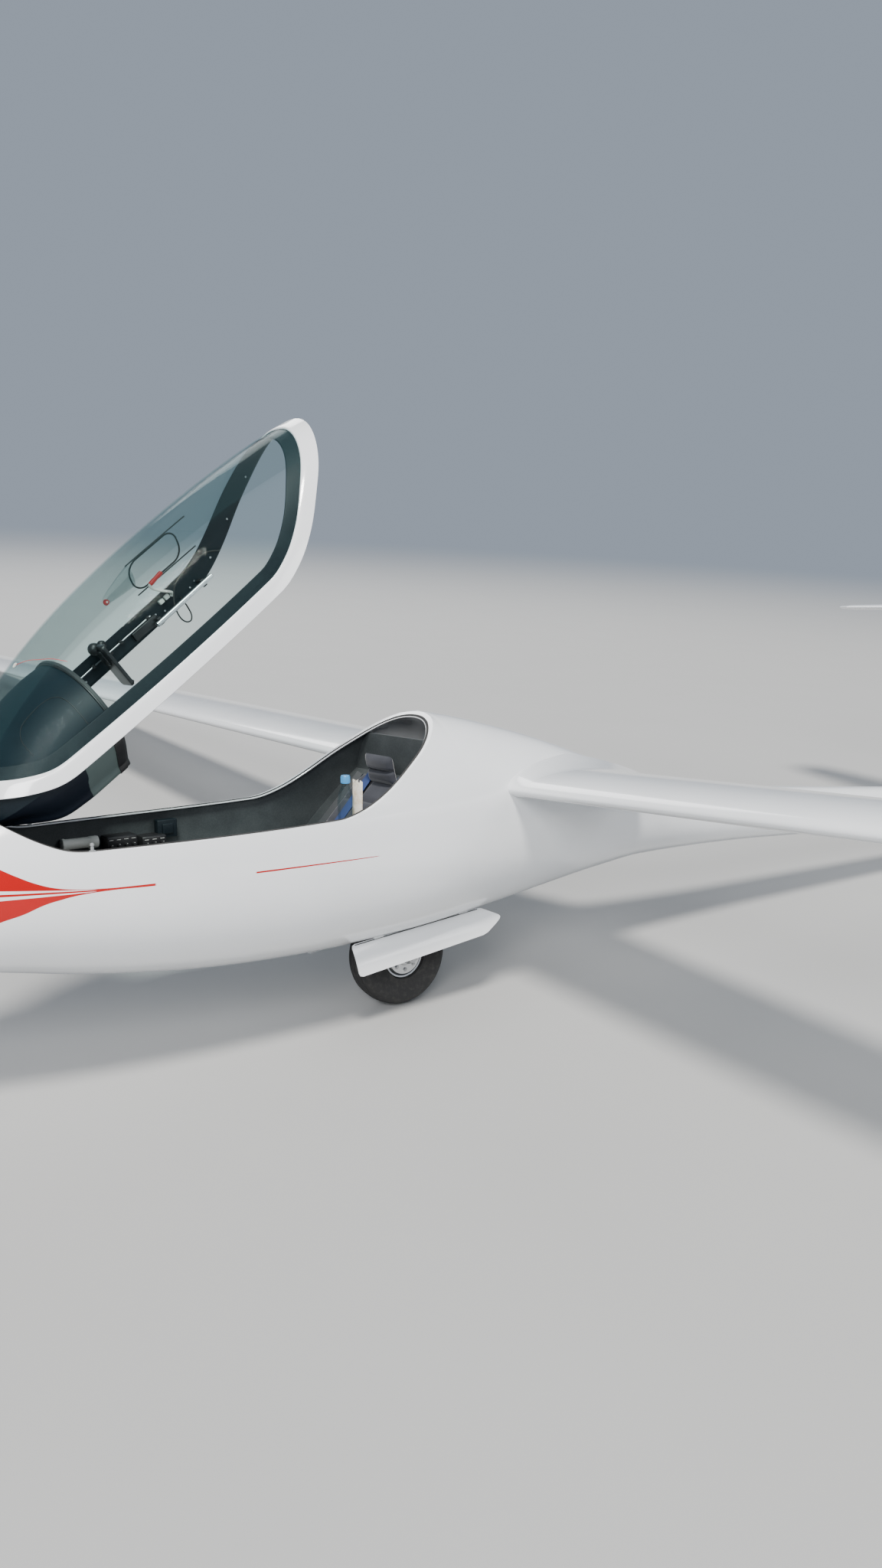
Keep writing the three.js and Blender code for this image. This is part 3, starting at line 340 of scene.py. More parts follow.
finish = {
    "hull": gelcoat("gelcoat_hull", stripes=True),
    "wing": gelcoat("gelcoat_wing", lines=brakeLines),
    "white": gelcoat("gelcoat_plain"),
    "glazing": tintedAcrylic("tinted_acrylic"),
    "clear": tintedAcrylic("clear_acrylic", (0.95, 0.975, 0.97), 0.06),
    "liner": plain("cockpit_liner", (0.03, 0.036, 0.038), (0.05, 0.058, 0.06), 9.0, 0.6),
    "dark": plain("dark_composite", (0.006, 0.011, 0.015), (0.011, 0.018, 0.022), 6.0, 0.5, shine=0.25),
    "hood": plain("hood_composite", (0.003, 0.009, 0.014), (0.006, 0.014, 0.02), 7.0, 0.5, grain=0.00006, shine=0.25),
    "panel": plain("panel_face", (0.02, 0.021, 0.022), (0.03, 0.031, 0.032), 30.0, 0.55, grain=0.0001),
    "mark": plain("dial_white", (0.7, 0.7, 0.66), (0.6, 0.6, 0.57), 40.0, 0.5),
    "pale": plain("pale_moulding", (0.62, 0.63, 0.58), (0.54, 0.55, 0.5), 25.0, 0.4, grain=0.00006),
    "pod": podCoatWithPaintedShade("pod_coat_and_painted_shade"),
    "yarn": weave("wool_yarn", (0.7, 0.02, 0.02), (0.45, 0.01, 0.012), 1400.0, 0.9),
    "thread": plain("sewing_thread", (0.1, 0.105, 0.13), (0.16, 0.165, 0.19), 60.0, 0.8),
    "paper": plain("folded_paper", (0.72, 0.71, 0.66), (0.46, 0.34, 0.2), 26.0, 0.85, grain=0.00004),
    "cap": plain("light_blue_plastic", (0.05, 0.28, 0.56), (0.04, 0.22, 0.46), 18.0, 0.35, coat=0.3),
    "water": tintedAcrylic("bottle_plastic", (0.9, 0.95, 0.965), 0.05),
    "grey": plain("trim_grey", (0.24, 0.27, 0.25), (0.3, 0.33, 0.31), 8.0, 0.5),
    "black": plain("moulded_black", (0.01, 0.01, 0.011), (0.018, 0.018, 0.019), 12.0, 0.4, grain=0.0002),
    "seal": plain("rubber_seal", (0.014, 0.014, 0.015), (0.035, 0.034, 0.032), 20.0, 0.75, grain=0.0003),
    "seat": weave("seat_fabric", (0.02, 0.022, 0.03), (0.045, 0.048, 0.06)),
    "belt": weave("belt_webbing", (0.012, 0.03, 0.115), (0.03, 0.06, 0.19), 700.0, 0.7),
    "steel": plain("machined_steel", (0.42, 0.43, 0.44), (0.55, 0.56, 0.57), 18.0, 0.34, metal=1.0,
        stretch=(1, 6, 1)),
    "alloy": plain("satin_alloy", (0.62, 0.63, 0.64), (0.72, 0.73, 0.74), 14.0, 0.32, metal=1.0, stretch=(6, 1, 1)),
    "bay": plain("bay_paint", (0.42, 0.43, 0.43), (0.34, 0.345, 0.34), 6.0, 0.5),
    "greySteel": plain("painted_tube", (0.2, 0.21, 0.215), (0.26, 0.27, 0.275), 16.0, 0.38, coat=0.3),
    "red": plain("red_plastic", (0.55, 0.012, 0.01), (0.42, 0.012, 0.01), 18.0, 0.32, coat=0.4),
    "blue": plain("blue_plastic", (0.01, 0.07, 0.36), (0.012, 0.05, 0.26), 18.0, 0.32, coat=0.4),
    "screen": plain("dark_display", (0.004, 0.005, 0.006), (0.008, 0.01, 0.012), 8.0, 0.1, coat=0.6),
    "tyre": treadRubber("tyre_rubber"),
}
# the record's slot of each finish, unless a piece names another
slotOf = {look: slot for slot, looks in {
    "gelcoat": ("hull", "wing", "white", "bay"), "dark_trim": ("liner", "dark", "hood", "pod", "black", "seal"),
    "grey_trim": ("grey", "pale", "paper"), "panel": ("panel", "mark"), "screen": ("screen",),
    "glazing": ("glazing", "clear"), "seat": ("seat", "belt", "thread"), "alloy": ("alloy",), "steel": ("steel",),
    "grey_steel": ("greySteel",), "red_plastic": ("red", "yarn"), "blue_plastic": ("blue", "cap"),
    "clear_plastic": ("water",), "tyre": ("tyre",)}.items() for look in looks}
print("finishes made")


# points that meet become one, and faces that have shrunk away are dropped
def welded(points, faces):
    points = np.array(points, float).reshape(-1, 3)
    _, first, where = np.unique(np.round(points, 6), axis=0, return_index=True, return_inverse=True)
    where = where.reshape(-1)
    kept = {}
    for face in faces:
        ring = [int(where[i]) for i in face]
        ring = [v for i, v in enumerate(ring) if v != ring[i - 1]]
        if len(ring) > 2 and len(set(ring)) == len(ring):
            kept.setdefault(tuple(sorted(ring)), []).append(tuple(ring))
    return points[first], [rings[0] for rings in kept.values() if len(rings) == 1]


# a mesh from points in the aircraft's own frame, which stay in the attribute "place"
def meshPiece(name, points, faces, material, place=stand, sharp=32):
    own, faces = welded(points, faces)
    mesh = bpy.data.meshes.new(name)
    mesh.from_pydata([tuple(p) for p in own], [], faces)
    made = bmesh.new()
    made.from_mesh(mesh)
    bmesh.ops.recalc_face_normals(made, faces=made.faces)
    edge = radians(sharp)
    for face in made.faces:
        face.smooth = True
    for line in made.edges:
        line.smooth = len(line.link_faces) == 2 and line.calc_face_angle(0) < edge
    made.to_mesh(mesh)
    made.free()
    mesh.attributes.new("place", "FLOAT_VECTOR", "POINT").data.foreach_set("vector", own.astype(np.float32).ravel())
    mesh.transform(place)
    mesh.materials.append(material)
    return shown(name, mesh)


# angles round a circle
def circle(count):
    return np.linspace(0, 2 * pi, count, endpoint=False)


# quads between closed rings of points, with caps on the rings that are named
def ringFaces(rings, count, caps=()):
    faces = []
    for r in range(rings - 1):
        for i in range(count):
            a, b = r * count + i, r * count + (i + 1) % count
            faces.append((a, b, b + count, a + count))
    return faces + [tuple(range(cap * count, (cap + 1) * count)) for cap in caps]


def loft(rings):
    rings = np.array(rings)
    return rings.reshape(-1, 3), ringFaces(len(rings), rings.shape[1], (0, len(rings) - 1))


# rings of points of which the last goes over into the first
def closedRound(rings):
    n, m = rings.shape[:2]
    faces = [(r * m + i, r * m + (i + 1) % m, (r + 1) % n * m + (i + 1) % m, (r + 1) % n * m + i) for r in range(n)
        for i in range(m)]
    return rings.reshape(-1, 3), faces


# several point and face lists as one
def gather(*bodies):
    points, faces, start = [], [], 0
    for some, fs in bodies:
        some = np.array(some).reshape(-1, 3)
        points.append(some)
        faces += [tuple(i + start for i in f) for f in fs]
        start += len(some)
    return np.concatenate(points), faces


def tube(path, radius, sides=16):
    path = [Vector(p) for p in path]
    radii = radius if hasattr(radius, "__len__") else [radius] * len(path)
    rings, normal = [], None
    for i, here in enumerate(path):
        way = (path[min(i + 1, len(path) - 1)] - path[max(i - 1, 0)]).normalized()
        if normal is None:
            normal = way.orthogonal().normalized()
        normal = (normal - way * normal.dot(way)).normalized()
        side = way.cross(normal)
        rings.append([tuple(here + (normal * cos(a) + side * sin(a)) * radii[i]) for a in circle(sides)])
    return loft(rings)


# a body turned round the Y axis: outline of radius, y pairs that closes on itself
def turned(outline, centre, sides=96):
    x, y, z = centre
    return closedRound(np.array([[(x + r * cos(a), y + off, z + r * sin(a)) for r, off in outline]
        for a in circle(sides)]))


# a block with rounded edges
def block(low, high, round=0.003, steps=3):
    low, high = Vector(low), Vector(high)
    size = high - low
    made = bmesh.new()
    bmesh.ops.create_cube(made, size=1)
    bmesh.ops.scale(made, vec=size, verts=made.verts)
    if round > 0:
        bmesh.ops.bevel(made, geom=made.edges[:], offset=min(round, min(size) * 0.45), segments=steps, profile=0.5,
            affect="EDGES")
    bmesh.ops.translate(made, vec=(low + high) / 2, verts=made.verts)
    made.verts.ensure_lookup_table()
    points = [tuple(v.co) for v in made.verts]
    faces = [tuple(v.index for v in f.verts) for f in made.faces]
    made.free()
    return points, faces


def bent(points, steps=24):
    # smooth curve through a few points
    p = np.array(points, float)
    p = np.vstack([2 * p[0] - p[1], p, 2 * p[-1] - p[-2]])
    out = []
    for a, b, c, d in zip(p, p[1:], p[2:], p[3:]):
        out += [0.5 * (2 * b + (c - a) * t + (2 * a - 5 * b + 4 * c - d) * t ** 2 + (3 * b - 3 * c + d - a) * t ** 3)
            for t in np.linspace(0, 1, steps, endpoint=False)]
    return out + [p[-2]]


# a superellipse arc from angle a to angle b across an axis: pairs of share across and share up
def arc(a, b, count, power):
    t = np.linspace(a, b, count)
    c, s = np.cos(t), np.sin(t)
    grow = (abs(c) ** power + abs(s) ** power) ** (-1 / power)
    return c * grow, s * grow


# a slab whose outline lies in two axes and whose thickness runs along a third, with rounded edges
def plate(outline, thick, origin, along, up, round=0.0012):
    along, up, origin = Vector(along).normalized(), Vector(up).normalized(), Vector(origin)
    out = along.cross(up)
    flat = np.array(outline, float)
    middle = flat.mean(0)
    steps = [(round, 0.0), (round * 0.3, round * 0.3), (0.0, round), (0.0, thick - round),
        (round * 0.3, thick - round * 0.3), (round, thick)]
    rings = []
    for inset, height in steps:
        ways = middle - flat
        pulled = flat + ways / np.linalg.norm(ways, axis=1)[:, None] * inset
        rings.append([tuple(origin + along * a + up * b + out * height) for a, b in pulled])
    return loft(rings)


# outline of a rectangle with round corners
def rounded(width, height, radius, steps=6, centre=(0, 0)):
    x, y = width / 2 - radius, height / 2 - radius
    corners = ((x, y, 0), (-x, y, 90), (-x, -y, 180), (x, -y, 270))
    return [(centre[0] + px + radius * cos(t), centre[1] + py + radius * sin(t)) for px, py, start in corners
        for t in np.radians(np.linspace(start, start + 90, steps))]


# a body turned round any axis: outline of radius, distance along the axis
def spun(outline, origin, axis, sides=32):
    axis = Vector(axis).normalized()
    one = axis.orthogonal().normalized()
    two = axis.cross(one)
    rings = [[tuple(Vector(origin) + axis * along + (one * cos(t) + two * sin(t)) * max(radius, 1e-5))
        for t in circle(sides)] for radius, along in outline]
    return loft(rings)


def settle(piece, body, slotName, *nodes):
    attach(piece, body)
    if nodes:
        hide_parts(*nodes)
    return piece


# one piece: its points and faces, or a list of such bodies; its finish; the solids it stands for; what it rides on
def make(name, body, look, *nodes, on="airframe", slot=None, sharp=32):
    points, faces = gather(*body) if isinstance(body, list) else body
    piece = meshPiece(name, points, faces, finish[look], lifted if on == "canopy" else stand, sharp)
    return settle(piece, on, slot or slotOf[look], *nodes)


# the fuselage's shape
hull.update({
    "power": 2.2, "skin": 0.003,
    # station, bottom, top, height of the widest point, half width
    "sections": np.array([
        (0, 606, 614, 610, 4), (40, 546, 664, 608, 62), (120, 503, 724, 610, 118), (250, 461, 792, 616, 174),
        (420, 422, 862, 622, 226), (600, 385, 930, 626, 264), (800, 343, 1000, 626, 289), (1050, 303, 1051, 622, 308),
        (1300, 279, 1073, 618, 316), (1600, 268, 1077, 612, 318), (1900, 275, 1062, 612, 312),
        (2100, 288, 1034, 615, 300), (2300, 308, 990, 622, 280), (2600, 340, 905, 612, 236),
            (2900, 368, 800, 585, 186),
        (3150, 383, 715, 550, 152), (3700, 366, 612, 489, 118), (4200, 331, 556, 444, 104), (5000, 268, 474, 371, 84),
        (5900, 197, 392, 294, 62), (6385, 166, 366, 266, 44)]) * 0.001,
    "sill": np.array([
        (480, 895), (560, 838), (640, 788), (720, 754), (800, 746), (1560, 746), (1660, 768), (1760, 815),
        (1870, 886), (1960, 945), (2100, 1052)]) * 0.001,
})


# value of every column of a table at x, with the same smooth rule as the solids
def smoothAt(table, x):
    k = int(np.clip(np.searchsorted(table[:, 0], x, side="right") - 1, 0, len(table) - 2))
    step = table[k + 1, 0] - table[k, 0]
    t = (x - table[k, 0]) / step

    def slope(i):
        a, b = max(i - 1, 0), min(i + 1, len(table) - 1)
        return (table[b] - table[a]) / (table[b, 0] - table[a, 0]) * step
    p, q, m, n = table[k], table[k + 1], slope(k), slope(k + 1)
    return p + t * m + t * t * (3 * (q - p) - 2 * m - n) + t ** 3 * (2 * (p - q) + m + n)


def hullPoint(x, angle, inset=0.0):
    _, low, high, wide, half = smoothAt(hull["sections"], x)
    c, s = cos(angle), sin(angle)
    reach = (high - wide if s >= 0 else wide - low) - inset
    r = (abs(c) ** hull["power"] + abs(s) ** hull["power"]) ** (-1 / hull["power"])
    return x, (half - inset) * c * r, wide + reach * s * r


# halves the span from a to b: over says whether the place that is sought lies past the middle
def halved(over, a, b, times=40):
    for _ in range(times):
        m = (a + b) / 2
        a, b = (m, b) if over(m) else (a, m)
    return a, b


# angle on the starboard side at which the section reaches height z
def angleAt(x, z, inset=0.0):
    return halved(lambda m: hullPoint(x, m, inset)[2] < z, -pi / 2, pi / 2)[1]


# angle below the waist at which the section is this far from the middle
def angleLow(x, half):
    return halved(lambda m: hullPoint(x, m)[1] < half, -pi / 2, 0.0, 30)[1]


def topAt(x, inset=0.0):
    return smoothAt(hull["sections"], x)[2] - inset


def sillHeights(distance):
    # the sill line moved up across itself: heights over closely spaced stations
    xs = np.linspace(hull["sill"][0, 0], hull["sill"][-1, 0], 700)
    curve = np.array([smoothAt(hull["sill"], x) for x in xs])
    ways = np.gradient(curve, axis=0)
    ways /= np.linalg.norm(ways, axis=1)[:, None]
    moved = curve + distance * np.stack([-ways[:, 1], ways[:, 0]], 1)
    return moved[np.argsort(moved[:, 0])]


def sillAt(x, distance=0.0, cache={}):
    if distance not in cache:
        cache[distance] = sillHeights(distance)
    line = cache[distance]
    if x < line[0, 0]:
        return 9.0
    return float(np.interp(x, line[:, 0], line[:, 1], right=9.0))


# stations where the raised sill line meets the top of the section
def crossings(distance, inset=0.0):
    xs = np.linspace(0.44, 2.2, 1761)
    under = np.array([sillAt(x, distance) < topAt(x, inset) for x in xs])
    first, last = np.argmax(under), len(under) - 1 - np.argmax(under[::-1])

    def refine(a, b, inside):
        return sum(halved(lambda m: (sillAt(m, distance) < topAt(m, inset)) == inside, a, b, 30)) / 2
    return refine(xs[first - 1], xs[first], False), refine(xs[last], xs[last + 1], True)


def between(*spans):
    # stations from spans of start, end, count
    return np.unique(np.round(np.concatenate([np.linspace(a, b, n) for a, b, n in spans]), 6))


# closed body between two grids of points: keep marks the cells that stay, joined the rows whose ends meet
def walled(outer, inner, keep=None, joined=None, plugged=()):
    outer, inner = np.array(outer), np.array(inner)
    rows, columns = outer.shape[:2]
    keep = np.ones((rows - 1, columns - 1), bool) if keep is None else keep
    joined = np.zeros(rows, bool) if joined is None else joined

    def at(layer, r, c):
        return (layer * rows + r) * columns + c

    def kept(r, c):
        return 0 <= r < rows - 1 and 0 <= c < columns - 1 and keep[r, c]
    faces = []
    for r, c in np.argwhere(keep):
        faces += [(at(0, r, c), at(0, r, c + 1), at(0, r + 1, c + 1), at(0, r + 1, c)),
            (at(1, r + 1, c), at(1, r + 1, c + 1), at(1, r, c + 1), at(1, r, c))]
        for (nr, nc), a, b in (((r - 1, c), (r, c), (r, c + 1)), ((r + 1, c), (r + 1, c + 1), (r + 1, c)),
                ((r, c - 1), (r + 1, c), (r, c)), ((r, c + 1), (r, c + 1), (r + 1, c + 1))):
            meets = nc in (-1, columns - 1) and joined[r] and joined[r + 1]
            shut = (nr == -1 and 0 in plugged) or (nr == rows - 1 and 1 in plugged)
            if not (kept(nr, nc) or meets or shut):
                faces.append((at(0, *a), at(0, *b), at(1, *b), at(1, *a)))
    faces += [tuple(at(layer, (rows - 1) * end, c) for c in range(columns)) for end in plugged for layer in (0, 1)]
    return np.concatenate([outer.reshape(-1, 3), inner.reshape(-1, 3)]), faces


# rows of points round the fuselage from the starboard sill under the belly to the port sill,
# with two columns that run along the edges of the wheel bays
def girthRows(stations, inset, distance=0.0, sides=34, belly=17):
    rows = []
    for x in stations:
        start = angleAt(x, min(sillAt(x, distance), topAt(x)))
        b = angleLow(x, float(np.interp(x, hull["edges"][:, 0], hull["edges"][:, 1])))
        angles = np.concatenate([np.linspace(start, b, sides), np.linspace(b, -pi - b, belly)[1:],
            np.linspace(-pi - b, -pi - start, sides)[1:]])
        rows.append([hullPoint(x, angle, inset) for angle in angles])
    return np.array(rows)


# closed loop along the raised sill line on the fuselage's outline, starboard front to rear and back on the port side
def rimLoop(distance, inset=0.0, count=150):
    front, rear = crossings(distance, inset)
    t = (1 - np.cos(np.linspace(0, pi, count))) / 2
    xs = front + (rear - front) * t
    half = [hullPoint(x, angleAt(x, min(sillAt(x, distance), topAt(x, inset)), inset), inset) for x in xs]
    half[0], half[-1] = (half[0][0], 0.0, half[0][2]), (half[-1][0], 0.0, half[-1][2])
    return np.array(half + [(x, -y, z) for x, y, z in half[-2:0:-1]])


def rimBody(profile):
    # profile: pairs of distance up from the sill and depth in from the outline, closed round
    return closedRound(np.array([rimLoop(d, inset) for d, inset in profile]).transpose(1, 0, 2))


# cords: the yaw string on the pane, and a cable looped on the starboard rail, both made as tubes on the closed canopy
cords = {
    "string": {"diameter": 0.0013, "points": mm(895.5, -14, 902, -30, 914, -54, 924, -76, 933, -99, 943, -117,
        954, -134, 964, -155, 974, -175)},
    "cable": {"diameter": 0.005, "points": mm(1722, 270, 806, 1712, 266, 813, 1695, 263.5, 824, 1673, 263, 833,
        1645, 260, 838, 1615, 258, 840, 1580, 257, 838.5, 1550, 256, 835, 1518, 255, 823, 1494, 254, 803,
        1474, 253, 776, 1464, 252, 748, 1463, 252.5, 724, 1472, 255, 706, 1489, 260, 699, 1505, 268, 710,
        1513, 276, 732, 1516, 280, 756, 1516, 281.5, 772, by=3)},
}


# a point over the pane at a station and a distance from the middle
def crownPoint(x, y, out=0.0):
    angle = halved(lambda m: hullPoint(x, m, 0.002 - out)[1] >= abs(y), 0.0, pi / 2)[0]
    px, py, pz = hullPoint(x, angle, 0.002 - out)
    return px, copysign(py, y), pz


def makeCords():
    radius = cords["string"]["diameter"] / 2
    line = [crownPoint(x, y, radius) for x, y, _ in bent([(x, y, 0) for x, y in cords["string"]["points"]], 3)]
    cable = [tuple(p) for p in bent(cords["cable"]["points"], 3)]
    for name, path, width, far, stiffness, lay, look in (
            ("yaw_string", line, cords["string"]["diameter"], "bare", "limp", "loose", "yarn"),
            ("rail_cable", cable, cords["cable"]["diameter"], "object", "medium", "hanging", "seal")):
        piece = make(name, tube(path, width / 2, 10), look, on="canopy")
        route = [tuple(lifted @ Vector(p)) for p in path]


makeCords()

# where the belly columns lie: station and distance from the middle
hull["edges"] = np.array([(0, 0.002), (0.12, 0.06), (0.42, 0.12), (0.8, 0.14), (2.6, 0.14), (3.15, 0.09),
    (4.2, 0.06), (5.9, 0.038), (6.34, 0.038), (6.385, 0.034)])
hull["bays"] = [(1.69, 2.3), (6.078, 6.322)]


def makeHull():
    front, rear = crossings(0.0)
    (a, b), (c, d) = hull["bays"]
    stations = between((0.0, 0.012, 6), (0.012, 0.12, 16), (0.12, front, 30), (front, front + 0.006, 4),
        (front + 0.006, 0.8, 50), (0.8, 1.56, 26), (1.56, a, 12), (a, rear, 26), (rear, b, 14), (b, 3.15, 34),
        (3.15, c, 44), (c, d, 9), (d, 6.385, 4))
    joined = (stations <= front) | (stations >= rear)
    keep = np.ones((len(stations) - 1, 82), bool)
    middle = (stations[1:] + stations[:-1]) / 2
    for low, high in hull["bays"]:
        keep[(middle > low) & (middle < high), 33:49] = False
    outer, inner = (girthRows(stations, inset) for inset in (0.0, hull["skin"]))
    skin = walled(outer, inner, keep, joined, (0, 1))
    make("fuselage_skin", skin, "hull", "nose_shell", "cockpit_shell", "centre_shell", "tail_boom", sharp=40)
    ledge = rimBody(mm(-0.2, 2.6, 0.4, 4, -0.2, 25, -1.2, 26.2, -4.2, 26.2, -4.2, 2.6))
    make("sill_ledge", ledge, "white", sharp=35)
    seal = rimBody([(0.001 + 0.0022 * sin(t), 0.0185 + 0.0035 * cos(t)) for t in circle(10)])
    make("sill_seal", seal, "seal")


# the cockpit's lining, its bulkheads and the slanted wall behind the seat
cabin = {"front": 0.4345, "rear": 1.9895, "depth": 0.0125, "wall": 0.0022, "face": 0.0128,
    "shelf": ((1.64, 0.4749), (1.9895, 0.8192)), "board": 0.004}


def wallAt(x, z, inset):
    return hullPoint(x, angleAt(x, z, inset), inset)[1]


def makeLining():
    edge = -0.0045
    front, rear = crossings(edge)
    spans = [(cabin["front"], front, 6), (front, 0.8, 30), (0.8, 1.56, 22), (1.56, min(rear, cabin["rear"]), 28)]
    stations = between(*spans, *([(rear, cabin["rear"], 3)] if rear < cabin["rear"] else []))
    joined = (stations <= front) | (stations >= rear)
    outer, inner = (girthRows(stations, inset, edge) for inset in (cabin["depth"] - cabin["wall"], cabin["depth"]))
    body = walled(outer, inner, None, joined)
    ends = []
    for x in (cabin["front"], cabin["rear"] - cabin["wall"]):
        rings = []
        for at in (x, x + cabin["wall"]):
            top = pi / 2 if topAt(at) < sillAt(at, edge) else angleAt(at, sillAt(at, edge))
            rings.append([hullPoint(at, t, cabin["depth"] - cabin["wall"]) for t in np.linspace(top, -pi - top, 73)])
        ends.append(loft(rings))
    (x0, z0), (x1, z1) = cabin["shelf"]
    away = Vector((z0 - z1, 0, x1 - x0)).normalized() * cabin["board"]
    rows = []
    for t in np.linspace(0, 1, 25):
        x, z = x0 + (x1 - x0) * t, z0 + (z1 - z0) * t
        rows.append([(x, y, z) for y in np.linspace(-1, 1, 15) * wallAt(x, z, cabin["depth"] - 0.001)])
    rows = np.array(rows)
    ends.append(walled(rows, rows - np.array(away)))
    make("cockpit_lining", [body, *ends], "liner", sharp=35)


def makeBays():
    # walls and roof inside the main wheel's bay
    (a, b), roof, wall = hull["bays"][0], 0.468, 0.003
    outer, inner = [], []
    for x in np.linspace(a, b, 25):
        for rows, grow in ((outer, 0.0), (inner, wall)):
            half = 0.14 + grow
            low = hullPoint(x, angleLow(x, 0.14), 0.0015)[2]
            rows.append([(x, half, low), (x, half, (low + roof) / 2), (x, half, roof + grow), (x, 0, roof + grow),
                (x, -half, roof + grow), (x, -half, (low + roof) / 2), (x, -half, low)])
    bodies = [walled(outer, inner)]
    for x, way in ((a, -1), (b, 1)):
        rows = np.array([[(x, y, z) for z in np.linspace(hullPoint(x, angleLow(x, abs(y)), 0.0015)[2], roof, 4)]
            for y in np.linspace(-0.14, 0.14, 15)])
        bodies.append(walled(rows, rows + np.array((way * wall, 0, 0))))
    make("wheel_bay_walls", bodies, "bay", sharp=35)


makeHull()
makeLining()
makeBays()
print("fuselage made")

# the wing's shape
wing = {
    # span, leading edge, trailing edge, hinge line, height, thickness
    "stations": np.array([
        (340, 2272, 2937, 2812, 762, 136), (4600, 2300, 2895, 2783, 908, 132), (6300, 2340, 2840, 2744, 975, 130),
        (8400, 2440, 2765, 2696, 1058, 122), (8850, 2530, 2746, 2696, 1078, 118)]) * 0.001,
    "camber": 0.025, "incidence": radians(1.6), "aileronEnd": 8.4, "flapEnd": 4.6, "endGap": 0.0065,
    "lip": 0.0009, "wallGap": 0.005,
    # out, rise, lean in degrees, leading and trailing edge
    "winglet": [(8.8503, 0, 0, 2.53, 2.746), (8.9, 0.012, 32, 2.552, 2.752), (8.94, 0.058, 66, 2.59, 2.762),
        (8.99, 0.4, 80, 2.712, 2.8)],
}


def straightAt(table, at):
    return np.array([np.interp(at, table[:, 0], table[:, k]) for k in range(table.shape[1])])


def halfThickness(s, thick):
    return 5 * thick * (0.2969 * np.sqrt(s) - 0.126 * s - 0.3516 * s ** 2 + 0.2843 * s ** 3 - 0.1015 * s ** 4)


# outline of a section from one place on its top round the nose to the same place below: chord shares and heights
def outline(lead, trail, thick, camber, upTo=1.0, steps=40):
    angle = np.linspace(-1, 1, 2 * steps + 1) * acos(1 - 2 * upTo)
    s = (1 - np.cos(angle)) / 2
    off = 4 * camber * s * (1 - s) - np.sign(angle) * halfThickness(s, thick)
    return lead + s * (trail - lead), off * (trail - lead)


# fixed part of a wing or tail: section cut before the moving surface, thin lips over its nose
def cutSection(lead, trail, hinge, thick, camber, lip, wall):
    chord = trail - lead
    share = (hinge - lead) / chord
    r = halfThickness(share, thick) * chord
    reach = min(r * 0.55, sqrt(max(2 * r * 0.0019, 1e-9)))
    xs, offs = outline(lead, trail, thick, camber, (hinge - reach - lead) / chord)
    back = hinge - r - wall
    s = (back - lead) / chord
    mid, half = 4 * camber * s * (1 - s) * chord, halfThickness(s, thick) * chord
    return (np.concatenate([xs, [xs[-1], back, back, xs[0]]]),
        np.concatenate([offs, [offs[-1] + lip, mid - half + lip, mid + half - lip, offs[0] - lip]]))


def movingSection(lead, trail, hinge, thick, camber, steps=12):
    chord = trail - lead
    share = (hinge - lead) / chord
    r, mid = halfThickness(share, thick) * chord, 4 * camber * share * (1 - share) * chord
    s = share + (1 - share) * np.linspace(1, 0, steps)
    line, half = 4 * camber * s * (1 - s) * chord, halfThickness(s, thick) * chord
    nose = np.radians(np.linspace(100, 260, 17))
    x = np.concatenate([lead + s * chord, hinge + r * np.cos(nose), (lead + s * chord)[::-1]])
    off = np.concatenate([line + half, mid + r * np.sin(nose), (line - half)[::-1]])
    return x, off


def wingPlace(side, span, height, lead, trail, xs, offs):
    pivot = lead + 0.35 * (trail - lead)
    return [(x, side * span, height + off + (pivot - x) * tan(wing["incidence"])) for x, off in zip(xs, offs)]


def wingRing(side, span, section, *extra):
    _, lead, trail, hinge, height, thick = straightAt(wing["stations"], span)
    return wingPlace(side, span, height, lead, trail, *section(lead, trail, hinge, thick, wing["camber"], *extra))


def fullSection(lead, trail, _, thick, camber):
    return outline(lead, trail, thick, camber)


